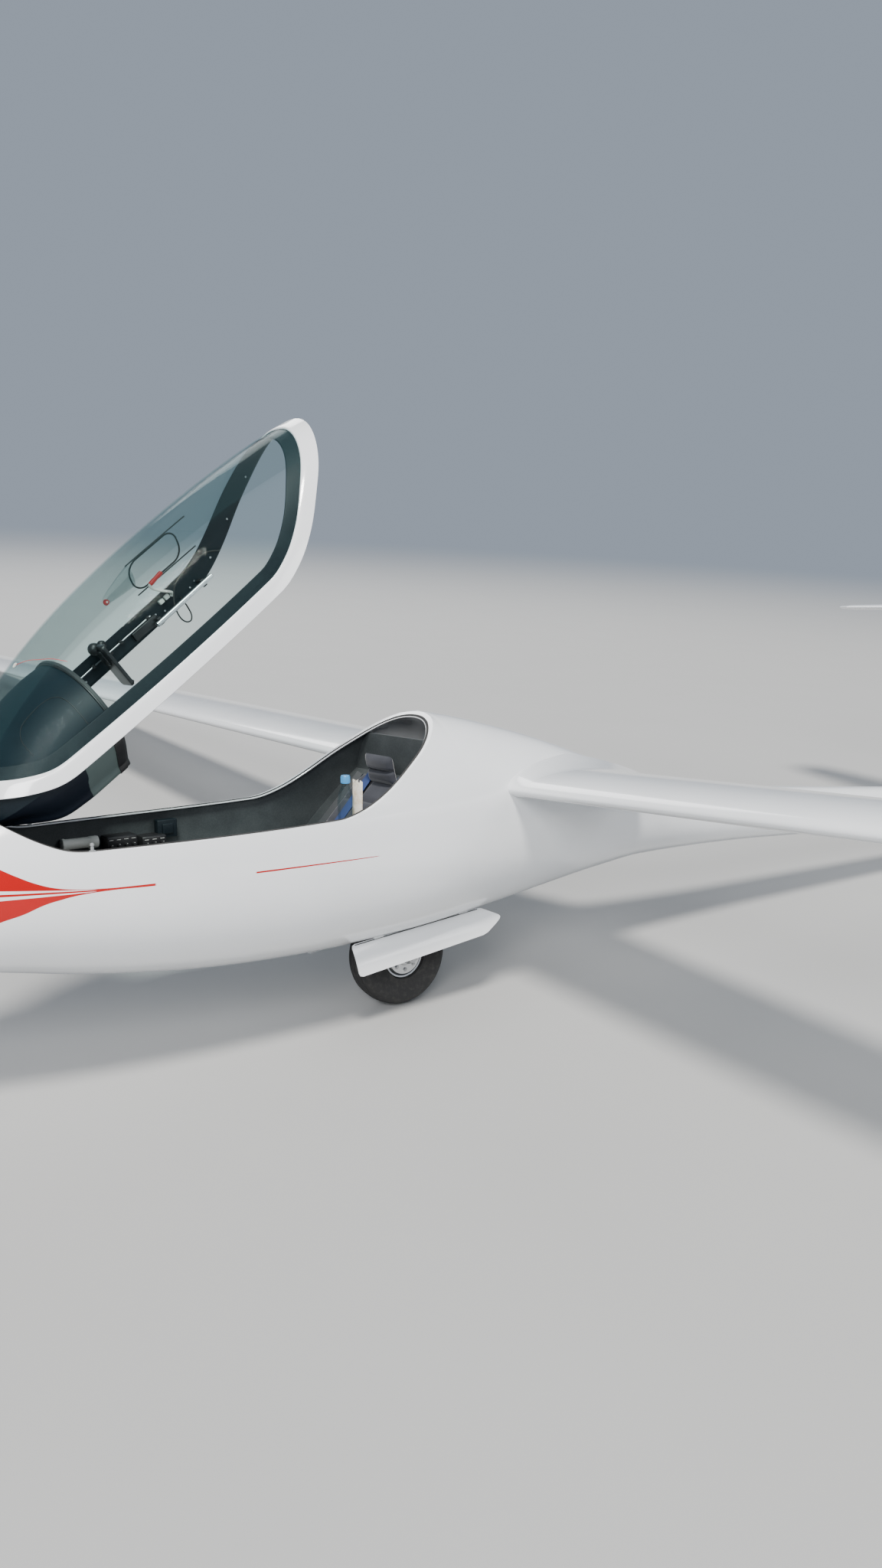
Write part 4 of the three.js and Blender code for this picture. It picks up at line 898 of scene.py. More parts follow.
def makeWing(side, name):
    spans = [0.3403, 0.36, 0.6, 1.2, 2.0, 2.8, 3.6, 4.4, 4.6, 5.2, 5.8, 6.3, 6.9, 7.5, 8.0, 8.4]
    main = loft([wingRing(side, s, cutSection, wing["lip"], wing["wallGap"]) for s in spans])
    tipRings = [wingRing(side, s, fullSection) for s in (8.4, 8.55, 8.7, 8.85)]
    height = wing["stations"][-1, 4]
    curve = np.array(bent(wing["winglet"], 8))
    for out, rise, lean, lead, trail in curve[1:]:
        xs, offs = outline(lead, trail, 0.118 - 0.02 * min(rise / 0.4, 1), wing["camber"] * (1 - 0.5 * rise / 0.4))
        lean = radians(lean)
        pivot = lead + 0.35 * (trail - lead)
        up = offs + (pivot - xs) * tan(wing["incidence"]) * cos(lean)
        tipRings.append([(x, side * (out - u * sin(lean)), height + rise + u * cos(lean)) for x, u in zip(xs, up)])
    tip = loft(tipRings)
    skid = {"x": 2.64, "span": 8.78, "drop": 0.04, "radius": 0.042, "wall": 0.012}
    low = straightAt(wing["stations"], skid["span"])[4] - skid["drop"] + 0.02
    # half disc under the tip, with a rubber sole round its edge
    foot = (skid["x"], side * skid["span"], low)
    angles = np.radians(np.linspace(-172, -8, 31))
    arch = [((skid["radius"] - 0.0035) * cos(t), (skid["radius"] - 0.0035) * sin(t)) for t in angles]
    fin = plate([(-0.03, 0.016), *arch, (0.03, 0.016)], skid["wall"] * 0.7,
        Vector(foot) + Vector((0, skid["wall"] * 0.35, 0)), (1, 0, 0), (0, 0, 1), 0.0015)
    rings = []
    for t in angles[2:-2]:
        ring = []
        for u in circle(12):
            reach = skid["radius"] - 0.003 + 0.003 * cos(u)
            ring.append((foot[0] + reach * cos(t), foot[1] + skid["wall"] / 2 * sin(u), foot[2] + reach * sin(t)))
        rings.append(ring)
    sole = loft(rings)
    make(f"wing_{name}", [main, tip], "wing", f"wing_inner_{name}", f"wing_outer_{name}", f"winglet_{name}", sharp=40)
    make(f"tip_skid_{name}", fin, "white")
    make(f"tip_sole_{name}", sole, "seal")
    gap = wing["endGap"]
    for kind, start, end, nodes in (("flap", 0.34 + gap, wing["flapEnd"] - gap, [f"flap_{name}"]),
            ("aileron", wing["flapEnd"] + gap, wing["aileronEnd"] - gap,
            [f"aileron_inner_{name}", f"aileron_outer_{name}"])):
        spans = [start] + [s for s in (1.2, 2.4, 3.6, 5.2, 6.3, 7.2) if start < s < end] + [end]
        surface = loft([wingRing(side, s, movingSection) for s in spans])
        make(f"{kind}_surface_{name}", surface, "white", *nodes, on=f"{kind}_{name}", sharp=40)


def makeRoots():
    # the fairing between fuselage and wing swells towards the fuselage
    bodies = []
    for side in (-1, 1):
        rings = []
        for span, swell, aft in ((0.12, 1.55, 0.1), (0.18, 1.34, 0.062), (0.22, 1.22, 0.042), (0.26, 1.12, 0.024),
                (0.3, 1.04, 0.008), (0.325, 1.005, 0.001), (0.3397, 1.0, 0.0)):
            _, lead, trail, _, height, thick = straightAt(wing["stations"], 0.34)
            xs, offs = outline(lead - aft * 0.35, trail + aft, thick * swell, wing["camber"])
            rings.append(wingPlace(side, span, height, lead, trail, xs, offs))
        bodies.append(loft(rings))
    make("wing_root_fairings", bodies, "white", sharp=40)


for sideSign, sideName in ((-1, "port"), (1, "starboard")):
    makeWing(sideSign, sideName)
makeRoots()
print("wings made")

tail = {
    # height, leading edge, trailing edge, hinge line, thickness
    "fin": np.array([
        (236, 5830, 6740, 6436, 94), (330, 5862, 6780, 6439, 94), (1352, 6172, 6702, 6470, 100)]) * 0.001,
    # span, leading edge, trailing edge, hinge line, thickness
    "plane": np.array([
        (0, 6160, 6622, 6484, 105), (700, 6196, 6592, 6484, 105), (1190, 6262, 6556, 6484, 100),
        (1275, 6310, 6530, 6484, 95)]) * 0.001,
    "height": 1.352, "elevatorEnd": 1.19, "rudder": (0.236, 1.288),
}


def makeTail():
    def finRing(z, section, *extra):
        _, lead, trail, hinge, thick = straightAt(tail["fin"], z)
        xs, offs = section(lead, trail, hinge, thick, 0.0, *extra)
        return [(x, off, z) for x, off in zip(xs, offs)]

    def planeRing(span, section, *extra):
        _, lead, trail, hinge, thick = straightAt(tail["plane"], abs(span))
        xs, offs = section(lead, trail, hinge, thick, 0.0, *extra)
        return [(x, span, tail["height"] + off) for x, off in zip(xs, offs)]

    fin = loft([finRing(z, cutSection, 0.0009, 0.005) for z in (0.3, 0.45, 0.7, 1.0, 1.2, 1.335)])
    make("fin_skin", fin, "white", "fin", sharp=40)
    foot, head = tail["rudder"]
    rudder = loft([finRing(z, movingSection) for z in (foot, 0.33, 0.6, 0.95, head)])
    make("rudder_skin", rudder, "white", "rudder", on="rudder", sharp=40)
    end = tail["elevatorEnd"]
    plane = [loft([planeRing(s, cutSection, 0.0009, 0.005) for s in (-end, -0.7, 0, 0.7, end)])]
    plane += [loft([planeRing(side * s, fullSection) for s in (end, 1.23, 1.262, 1.275)]) for side in (-1, 1)]
    make("tailplane_skin", plane, "white", "tailplane", sharp=40)
    gap = wing["endGap"]
    elevator = loft([planeRing(s, movingSection) for s in (gap - end, -0.7, 0, 0.7, end - gap)])
    make("elevator_skin", elevator, "white", "elevator", on="elevator", sharp=40)


makeTail()
print("tail made")

# the canopy is drawn closed and lifted with its mesh
canopy = {"gap": 0.005, "band": 0.046, "outer": 0.002, "inner": 0.006, "peg": 0.786}


def makeCanopy():
    g, top = canopy["gap"], canopy["gap"] + canopy["band"]
    band = rimBody([(g, 0.0012), (g + 0.0012, 0), (g + 0.015, 0), (g + 0.03, 0), (top - 0.001, 0), (top, 0.001),
        (top, 0.0045), (g + 0.02, 0.0045), (g, 0.0045)])
    make("canopy_band", band, "white", "canopy_frame", on="canopy", sharp=50)
    profile = [(g, 0.0047), (g + 0.015, 0.0047), (top - 0.004, 0.0064), (top + 0.03, 0.0066), (top + 0.034, 0.0072),
        (top + 0.034, 0.0105), (top + 0.004, 0.0145), (g + 0.012, 0.0195), (g + 0.003, 0.0195), (g, 0.017)]
    points, faces = rimBody(profile)
    # relief on the underside for the locating pegs
    for ring in points.reshape(-1, len(profile), 3):
        for k, (d, inset) in enumerate(profile):
            x = ring[k][0]
            if abs(x - canopy["peg"]) < 0.025 and d < g + 0.03:
                _, y, z = hullPoint(x, angleAt(x, sillAt(x, g + 0.032 + (d - g) * 0.1), inset), inset)
                ring[k] = x, copysign(y, ring[k][1]), z
    make("canopy_rail", (points, faces), "dark", on="canopy", slot="gelcoat", sharp=40)
    front, rear = crossings(top + 0.0003, canopy["outer"])
    t = (1 - np.cos(np.linspace(0, pi, 120))) / 2
    sheets = []
    for inset in (canopy["outer"], canopy["inner"]):
        rows = []
        for x in front + (rear - front) * t:
            start = angleAt(x, min(sillAt(x, top + 0.0003), topAt(x, inset)), inset)
            rows.append([hullPoint(x, a, inset) for a in np.linspace(start, pi - start, 73)])
        sheets.append(np.array(rows))
    both = np.concatenate([sheets[0], sheets[1][:, ::-1]], axis=1)
    pane = (both.reshape(-1, 3), ringFaces(*both.shape[:2]))
    make("canopy_pane", pane, "glazing", "canopy_glazing", on="canopy", sharp=60)


makeCanopy()
print("canopy made")


# hood over the instruments and the pod below it, which swing up with the canopy
hood = {
    # station, bottom, top, half width at the waist, half width of the pod
    "stations": np.array([
        (525, 752, 842, 120, 70), (600, 702, 890, 185, 112), (700, 647, 936, 232, 148), (800, 632, 956, 252, 160),
        (900, 629, 964, 260, 164), (968, 628, 960, 264, 164)]) * 0.001,
    "lean": 0.16,       # the panel's foot is ahead of its top
    "foot": 0.024,      # round corner below the pod's side
    "waist": 0.765, "panel": 0.012,
    # embossed line on each side: station, angle up from the waist in degrees
    "emboss": [(0.735, 30), (0.742, 44), (0.77, 53), (0.815, 55), (0.865, 54), (0.893, 50), (0.905, 42), (0.906, 28),
        (0.904, 16), (0.89, 9), (0.86, 7), (0.8, 8), (0.755, 11), (0.738, 18)],
    "dials": [(-0.12, 0.85, 0.031), (-0.12, 0.78, 0.031), (0.12, 0.85, 0.031), (0.12, 0.78, 0.031),
        (0.0, 0.745, 0.03)],
}


# bottom, top, half width at the waist and half width of the pod
def hoodRow(x):
    return smoothAt(hood["stations"], x)[1:]


# a point moved forward the more the lower it is and the nearer it is to the panel
def leaned(x, y, z):
    first, last = hood["stations"][0, 0], hood["stations"][-1, 0]
    return x - hood["lean"] * (hood["stations"][-1, 2] - z) * (x - first) / (last - first), y, z


def hoodPoint(x, degrees, out=0.0):
    _, high, upper, _ = hoodRow(x)
    c, s = arc(radians(degrees), radians(degrees), 1, 2.15)
    return leaned(x, (upper + out) * c[0], hood["waist"] + (high - hood["waist"] + out) * s[0])


# arch over the waist, and the pod below it, whose sides slope to round lower corners
def archRow(x, shrink=0.0, grow=0.0):
    _, high, upper, _ = hoodRow(x)
    c, s = arc(0, pi, 45, 2.15)
    return [leaned(x, (upper - shrink) * a, hood["waist"] + (high + grow - shrink - hood["waist"]) * b)
        for a, b in zip(c, s)]


def podRow(x, shrink=0.0, top=0.0005):
    low, _, upper, lower = hoodRow(x)
    waist, foot = hood["waist"] - top, min(hood["foot"], (hood["waist"] - low) / 3)
    side = [(upper - 0.0015, waist), (upper * 0.62 + lower * 0.38 + 0.005, waist * 0.58 + (low + foot) * 0.42),
        (lower + 0.001, low + foot)]
    half = [(y, z) for _, y, z in bent([(0, y, z) for y, z in side], 6)]
    half += [(lower - foot * t * t, low + foot * (1 - t) ** 2) for t in np.linspace(0.2, 1.0, 5)]
    half = [(y - shrink, z + shrink * 0.6) for y, z in half]
    return [leaned(x, -y, z) for y, z in half] + [leaned(x, y, z) for y, z in half[::-1]]


def makeHood():
    xs = between((0.525, 0.54, 4), (0.54, 0.95, 26), (0.95, 0.968, 4))
    for name, row, look, *nodes in (("hood_shell", archRow, "hood", "instrument_hood"), ("hood_pod", podRow, "pod")):
        make(name, loft([row(0.525, 0.012)] + [row(x) for x in xs[1:]]), look, *nodes, on="canopy", sharp=38)
    lines = []
    for side in (1, -1):
        path = [(x, side * y, z) for x, y, z in (hoodPoint(x, t, 0.0002) for x, t in bent(hood["emboss"], 8))]
        lines.append(tube(path, 0.0013, 8))
    edge = [Vector(hoodPoint(0.9675, t, 0.0012)) for t in np.linspace(3, 177, 61)]
    lines += [tube(edge, 0.0034, 10), loft([podRow(x, shrink, 0.0012)
        for x, shrink in ((0.9385, -0.0002), (0.939, -0.0026), (0.9678, -0.0026), (0.968, -0.0002))])]
    make("hood_trim", lines, "black", on="canopy")


# the instrument panel with its dials and the display
def makePanel():
    face = hood["stations"][-1, 0] + 0.0003 + hood["panel"]
    rings = []
    for off, shrink in ((0.0003, 0.0015), (0.001, 0.0), (hood["panel"] - 0.0017, 0.0),
            (hood["panel"] - 0.0003, 0.0007), (hood["panel"] + 0.0003, 0.002)):
        ring = archRow(0.968, shrink, 0.006) + podRow(0.968, shrink)
        rings.append([(x + off, y, z) for x, y, z in ring])
    make("panel_board", loft(rings), "panel", "instrument_panel", on="canopy", sharp=30)
    across = Vector((1, 0, -hood["lean"])).normalized()

    # a body drawn on an upright face, laid on the leaning one
    def onPanel(body):
        points, faces = body
        laid = [(face - hood["lean"] * (0.96 - z) + (x - face) * across.x, y, z + (x - face) * across.z)
            for x, y, z in points]
        return laid, faces
    bezels, faces, marks = [], [], []
    for y, z, radius in hood["dials"]:
        origin = (face, y, z)
        bezels.append(spun([(radius * 0.86, -0.002), (radius, -0.001), (radius, 0.0032), (radius * 0.97, 0.0048),
            (radius * 0.88, 0.0048), (radius * 0.84, 0.0018)], origin, (1, 0, 0), 48))
        faces.append(spun([(0.0, 0.0002), (radius * 0.87, 0.0002), (radius * 0.87, 0.001), (0.0, 0.001)], origin,
            (1, 0, 0), 40))
        for k in range(24):
            t = radians(-150 + k * 300 / 23)
            inner, outer = radius * (0.66 if k % 4 == 0 else 0.72), radius * 0.8
            way, side = Vector((0, sin(t), cos(t))), Vector((0, cos(t), -sin(t))) * (0.0006 if k % 4 == 0 else 0.0003)
            corners = [Vector(origin) + Vector((h, 0, 0)) + way * d + side * w for h in (0.0009, 0.0014)
                for d, w in ((inner, -1), (outer, -1), (outer, 1), (inner, 1))]
            marks.append((corners, [(0, 1, 2, 3), (4, 5, 6, 7), (0, 1, 5, 4), (1, 2, 6, 5), (2, 3, 7, 6),
                (3, 0, 4, 7)]))
        t = radians({0.85: -110, 0.78: -60}.get(z, 40))
        way = Vector((0, sin(t), cos(t)))
        middle = Vector(origin) + Vector((0.0022, 0, 0))
        marks += [tube([middle - way * radius * 0.15, middle + way * radius * 0.6], [0.0011, 0.0004], 6),
            spun(mm(0, 1, 3, 1, 3, 3, 0, 3), origin, (1, 0, 0), 12)]
    make("dial_bezels", list(map(onPanel, bezels)), "black", on="canopy", slot="panel")
    make("dial_faces", list(map(onPanel, faces)), "screen", on="canopy")
    make("dial_marks", list(map(onPanel, marks)), "mark", on="canopy", sharp=20)
    (x0, y0, z0), (x1, y1, z1) = (face + 0.0003, -0.078, 0.806), (face + 0.0083, 0.078, 0.906)
    body = plate(rounded(y1 - y0, z1 - z0, 0.01), x1 - x0 - 0.0012, (x0, (y0 + y1) / 2, (z0 + z1) / 2), (0, 1, 0),
        (0, 0, 1), 0.002)
    glass = plate(rounded(y1 - y0 - 0.018, z1 - z0 - 0.024, 0.003), 0.001,
        (x1 - 0.0013, (y0 + y1) / 2, (z0 + z1) / 2 + 0.004), (0, 1, 0), (0, 0, 1), 0.0003)
    keys = [spun(mm(0, 0, 3.6, 0, 3.6, 1.2, 2.6, 1.8, 0, 1.8), (x1 - 0.0013, y, z0 + 0.0085), (1, 0, 0), 16)
        for y in (-0.045, -0.015, 0.015, 0.045)]
    make("display_case", [*map(onPanel, (body, *keys))], "black", "panel_screen", on="canopy", slot="screen")
    make("display_glass", onPanel(glass), "screen", on="canopy")


makeHood()
makePanel()
print("hood and panel made")


# holder on the starboard rail, lever, latch rod and the small parts along the rails
holder = {"balls": [((1.17, 0.244, 0.842), 0.0205), ((1.2, 0.254, 0.834), 0.015)], "foot": (1.196, 0.288, 0.78),
    "board": ((1.178, 0.219, 0.771), 0.086, 0.158, 0.012)}
lever = {"bend": (1.446, 0.2545, 0.874), "grip": (1.505, 0.25, 0.884), "root": (1.494, 0.266, 0.812),
    "wall": (1.5, 0.29, 0.8)}
latch = {"start": 1.385, "end": 1.64, "y": 0.2535, "z": (0.7632, 0.7662), "radius": 0.0088, "lugs": (1.403, 1.6)}


def makeFittings():
    parts = [spun([(radius * sin(t), -radius * cos(t)) for t in np.linspace(0, pi, 17)], centre, (0.3, 1, 0.4), 32)
        for centre, radius in holder["balls"]]
    (a, _), (b, _) = holder["balls"]
    parts.append(tube([a, b], [0.009, 0.009], 16))
    foot = Vector(holder["foot"])
    parts += [tube([b, (1.199, 0.266, 0.815), tuple(foot)], [0.0072, 0.0072, 0.0085], 16),
        plate(rounded(0.052, 0.026, 0.008), 0.005, foot + Vector((0, -0.001, 0)), (1, 0, 0), (0, -0.35, 0.94),
        0.0012)]
    centre, width, height, thick = holder["board"]
    parts.append(tube([a, (1.174, 0.234, 0.828), (1.177, 0.228, 0.815)], 0.0085, 16))
    for wide, tall, corner, deep, off, edge in (
            (width, height, 0.012, thick, (-thick / 2, 0, 0), 0.0022),
            (width * 0.5, height * 0.36, 0.006, 0.006, (-thick / 2 - 0.006, 0.008, 0.035), 0.0015)):
        face = rounded(wide, tall, corner)
        parts.append(plate(face, deep, Vector(centre) + Vector(off), (0, 1, 0), (0, 0, 1), edge))
    for z in (0.7, 0.842):
        parts.append(block((centre[0] - 0.004, centre[1] - 0.03, z - 0.004),
            (centre[0] + 0.0125, centre[1] + 0.03, z + 0.004), 0.0016))
    make("device_holder", parts, "black", "device_mount", on="canopy", sharp=40)
    # lever: pale bent tube with a red sleeve
    arm = bent([lever["wall"], lever["root"], (1.455, 0.258, 0.852), lever["bend"], (1.458, 0.253, 0.8775),
        (1.47, 0.2525, 0.879)], 8)
    body = [tube(arm, 0.0046, 14), spun(mm(0, 0, 11, 0, 12, 2, 9, 7, 0, 7), (1.5, 0.2895, 0.801), (0, -1, 0.25), 20)]
    make("lever_arm", body, "pale", "lock_lever", on="canopy")
    start, end = Vector((1.449, 0.2535, 0.8768)), Vector(lever["grip"])
    sleeve = [(0.0, 0), (0.0062, 0.0002), (0.0074, 0.0022), (0.0078, 0.016), (0.007, 0.03), (0.0078, 0.046),
        (0.007, (end - start).length - 0.002), (0.0048, (end - start).length), (0, (end - start).length)]
    make("lever_grip", spun(sleeve, start, end - start, 24), "red", on="canopy")
    # latch rod: a bright tube with a cut end, in two lugs on the rail
    (z0, z1), y, radius = latch["z"], latch["y"], latch["radius"]
    way = Vector((latch["end"] - latch["start"], 0, z1 - z0))
    pipe = spun([(radius - 0.0022, 0.012), (radius - 0.0022, 0.0), (radius - 0.0008, 0.0), (radius, 0.0008),
        (radius, way.length - 0.002), (radius - 0.002, way.length), (0.0, way.length)], (latch["start"], y, z0), way,
        28)
    plug = spun([(0, 0.01), (radius - 0.0022, 0.01), (radius - 0.0022, 0.013), (0, 0.013)], (latch["start"], y, z0),
        way, 20)
    lugs = []
    for x in latch["lugs"]:
        wall = wallAt(x, 0.772, 0.0135)
        clear = sillAt(x + 0.016) + 0.0085
        lugs += [block((x - 0.008, y - 0.004, 0.7535), (x + 0.008, 0.276, 0.7795), 0.002),
            block((x - 0.008, 0.273, clear), (x + 0.008, wall, 0.7795), 0.002),
            block((x - 0.016, wall - 0.005, clear), (x + 0.016, wall + 0.002, 0.79), 0.0015)]
    make("latch_rod", [pipe, plug], "alloy", "lock_rod", on="canopy")
    make("latch_lugs", lugs, "black", on="canopy")
    # rod, channel and blocks along the starboard rail, clip and stops
    def onRail(x, z, inset=0.0195):
        return x, wallAt(x, z, inset), z
    rod = tube([onRail(x, 0.795, 0.0235) for x in np.linspace(0.992, 1.392, 24)], 0.0024, 10)
    make("rail_pushrod", rod, "steel", on="canopy")
    dark, cream = [], []
    for x in (1.02, 1.14, 1.26, 1.38):
        at = Vector(onRail(x, 0.795, 0.021))
        dark.append(block(at - Vector((0.006, 0.008, 0.006)), at + Vector((0.006, 0.006, 0.006)), 0.0015))
    at = Vector(onRail(1.355, 0.775, 0.02))
    dark.append(block(at - Vector((0.052, 0.014, 0.014)), at + Vector((0.052, 0.006, 0.016)), 0.003))
    for x in (1.452, 1.476):
        at = Vector(onRail(x, 0.806, 0.0175))
        cream.append(block(at - Vector((0.009, 0.009, 0.007)), at + Vector((0.009, 0.004, 0.007)), 0.002))
    at = Vector((0.944, -wallAt(0.944, 0.806, 0.0145), 0.806))
    cream.append(block(at - Vector((0.01, 0.004, 0.004)), at + Vector((0.01, 0.006, 0.008)), 0.0015))
    make("rail_blocks", dark, "black", on="canopy")
    make("rail_clips", cream, "pale", on="canopy")


# sliding window in the starboard pane with its scoop and knob, and the round mark that holds the yaw string
def panePoint(x, z, out=0.0, side=1):
    px, y, pz = hullPoint(x, angleAt(x, z, 0.002 - out), 0.002 - out)
    return px, side * y, pz


def makeWindow():
    ring = rounded(0.205, 0.1, 0.042, 8, (1.505, 0.928))
    path = [panePoint(x, z, -0.0045) for x, z in ring] + [panePoint(*ring[0], -0.0045)]
    seal = tube(path, 0.0028, 10)
    runners = [tube([panePoint(x, z, -0.0065) for x in np.linspace(1.4, 1.66, 16)], 0.0022, 8)
        for z in (0.872, 0.984)]
    make("window_seal", [seal, *runners], "seal", on="canopy")
    # scoop: half a cone on the pane's inner face, opening forward
    outer, inner = [], []
    for k, x in enumerate(np.linspace(1.285, 1.405, 14)):
        t = k / 13
        half = 0.01 + 0.03 * t ** 0.7
        rise = 0.004 + 0.02 * t ** 0.8
        middle = 0.935 + 0.01 * t
        for rows, thin in ((outer, 0.0), (inner, 0.0012)):
            row = []
            for a in np.linspace(0, pi, 13):
                z = middle + (half - thin) * cos(a)
                row.append(panePoint(x, z, -0.0043 - (rise - thin) * sin(a)))
            rows.append(row)
    make("window_scoop", walled(outer, inner), "clear", on="canopy", sharp=50)
    at = Vector(panePoint(1.292, 0.93, -0.006))
    away = (Vector(panePoint(1.292, 0.93, -0.012)) - at).normalized()
    knob = spun(mm(0, 0, 10, 0, 10.5, 2, 8.5, 8, 4.5, 9.5, 0, 9.5), at, away, 24)
    make("window_knob", knob, "red", on="canopy")
    cap = spun(mm(0, 9, 3.5, 9, 3, 11.8, 0, 12.2), at, away, 16)
    up = Vector((-0.36, -0.1, 0.93))
    disc = spun(mm(0, -1, 8.5, -1, 8.5, 0.3, 7.8, 0.8, 0, 1), (0.895, -0.008, topAt(0.895) - 0.0021), up, 28)
    make("string_mark", [cap, disc], "pale", on="canopy", slot="gelcoat")


makeFittings()
makeWindow()
print("canopy fittings made")


# what stands in the cockpit
cockpit = {
    "pan": mm(989, 376, 1060, 360, 1132, 342, 1260, 339, 1398, 340, 1470, 356, 1545, 377),
    "back": mm(1550, 394.5, 1620, 463.5, 1700, 542.5, 1800, 641, 1880, 720, 1962, 801),
    "rest": mm(1940, 795, 1935, 830, 1927, 866, 1919, 898),
    "halfPan": 0.184, "halfBack": 0.199, "halfRest": 0.084, "shell": 0.003,
    "console": (1.02, 1.6, 0.212, 0.54, 0.585),
    "stick": {"foot": (1.25, 0, 0.35), "neck": (1.286, 0, 0.562), "top": (1.3, 0, 0.676)},
    "bottle": (1.617, -0.246, 0.6765), "pocket": (1.56, 1.68, -0.208, 0.59, 0.676),
    "peg": (0.786, -0.2598, 0.7464),
}


def pathFrames(line, steps=8):
    # points along a side line with the direction that looks up from it
    points = np.array(bent([(x, 0, z) for x, z in line], steps))[:, [0, 2]]
    ways = np.gradient(points, axis=0)
    ways /= np.linalg.norm(ways, axis=1)[:, None]
    return points, np.stack([-ways[:, 1], ways[:, 0]], 1)


# distance along a line at each of its points
def runAlong(points):
    return np.concatenate([[0], np.cumsum(np.linalg.norm(np.diff(points, axis=0), axis=1))])


# a crowned cushion on a side line: the sides pull in between the corners, and channels are sewn across and along it
def cushion(line, half, thick, crown, lift, across=(), along=(), columns=41):
    points, ups = pathFrames(line, 9)
    run = runAlong(points)
    share = run / run[-1]
    top, low = [], []
    for (x, z), (ux, uz), u in zip(points, ups, share):
        reach = half * (1 - 0.045 * sin(pi * u)) * (1 - 0.1 * max(0.0, abs(2 * u - 1) - 0.86) / 0.14)
        rows = ([], [])
        for v in np.linspace(-1, 1, columns):
            edge = min(1.0, (1 - abs(v)) * half / 0.022)
            ends = min(1.0, min(u, 1 - u) * run[-1] / 0.022)
            rim = sin(edge * pi / 2) ** 0.7 * sin(ends * pi / 2) ** 0.7
            height = thick * 0.5 + rim * (thick * 0.5 + crown * (1 - v * v) ** 0.6 * sin(pi * u) ** 0.45)
            for seam in across:
                height -= 0.45 * (thick + crown) * exp(-((u - seam) * run[-1] / 0.006) ** 2) * rim
            for seam in along:
                height -= 0.45 * (thick + crown) * exp(-((abs(v) - seam) * half / 0.006) ** 2) * rim
            base = thick * 0.5 * (1 - rim)
            rows[0].append((x + ux * (lift + height), reach * v, z + uz * (lift + height)))
            rows[1].append((x + ux * (lift + base), reach * v, z + uz * (lift + base)))
        top.append(rows[0])
        low.append(rows[1])
    top = np.array(top)
    seams = [top[int(np.argmin(abs(share - seam)))][3:-3] for seam in across]
    seams += [top[3:-3, int(round((1 + side * seam) / 2 * (columns - 1)))] for seam in along for side in (-1, 1)]
    cockpit.setdefault("seams", []).extend(seams)
    return walled(top, low)


def makeSeat():
    shells = []
    for line, half, lip in ((cockpit["pan"], cockpit["halfPan"], 0.02),
            (cockpit["back"], cockpit["halfBack"], 0.016)):
        points, ups = pathFrames(line, 6)
        rows = []
        for (x, z), (ux, uz) in zip(points, ups):
            row = []
            for v in np.linspace(-1, 1, 27):
                curl = lip * max(0.0, (abs(v) - 0.9) / 0.1) ** 2
                row.append((x + ux * curl, half * v, z + uz * curl))
            rows.append(row)
        rows = np.array(rows)
        thick = np.array([[(ux, 0, uz)] * 27 for ux, uz in ups]) * cockpit["shell"]
        shells.append(walled(rows + thick, rows))
    make("seat_shells", shells, "dark", slot="seat", sharp=40)
    for name, line, half, thick, crown, across, along, node in (
            ("seat_cushion", "pan", 0.168, 0.014, 0.012, (0.26, 0.5, 0.74), (0.42,), "seat_pan"),
            ("back_cushion", "back", 0.182, 0.012, 0.01, (0.2, 0.4, 0.6, 0.8), (0.42,), "seat_back"),
            ("headrest_pad", "rest", cockpit["halfRest"], 0.02, 0.012, (0.5,), (), "headrest")):
        body = cushion(cockpit[line], half, thick, crown, 0.0035, across, along)
        piece = make(name, body, "seat", node, sharp=60)
    # shoulder and lap straps that lie on the seat, with their buckle
    straps = []
    back, ups = pathFrames(cockpit["back"], 9)
    for side in (-1, 1):
        route = [Vector((x + ux * 0.0285, side * (0.05 + 0.045 * k / len(back)), z + uz * 0.0285))
            for k, ((x, z), (ux, uz)) in enumerate(zip(back, ups)) if k > 9]
        straps.append(ribbon(route, 0.044, 0.0016))
    pan, ups = pathFrames(cockpit["pan"], 9)
    x, z = pan[-12]
    for side in (-1, 1):
        lap = bent([(x + 0.055, side * 0.178, z + 0.04), (x + 0.04, side * 0.14, z + 0.0345),
            (x + 0.01, side * 0.09, z + 0.0355), (x - 0.012, side * 0.05, z + 0.037),
            (x - 0.018, side * 0.022, z + 0.038)], 6)
        straps.append(ribbon([Vector(p) for p in lap], 0.044, 0.0016, (0.12, 0, 1)))
    make("harness_straps", straps, "belt", sharp=50)
    centre = Vector((x - 0.02, 0, z + 0.033))
    metal = [spun(mm(0, 0, 30, 0, 31, 3, 28, 11, 20, 13, 0, 13), centre, (-0.1, 0, 1), 36),
        spun(mm(0, 12, 12, 12, 11, 18, 0, 19), centre, (-0.1, 0, 1), 24)]
    make("harness_buckle", metal, "alloy", slot="seat")


# a flat band along a route, its width square to the route
def ribbon(route, width, thick, up=None):
    rows, low = [], []
    for i, here in enumerate(route):
        way = (route[min(i + 1, len(route) - 1)] - route[max(i - 1, 0)]).normalized()
        face = Vector(up) if up else Vector((-way.z, 0, way.x)) * (1 if way.x > 0 else -1)
        wide = way.cross(face).normalized()
        out = wide.cross(way).normalized()
        rows.append([tuple(here + wide * width * w + out * thick / 2) for w in (-0.5, -0.2, 0.2, 0.5)])
        low.append([tuple(here + wide * width * w - out * thick / 2) for w in (-0.5, -0.2, 0.2, 0.5)])
    return walled(rows, low)


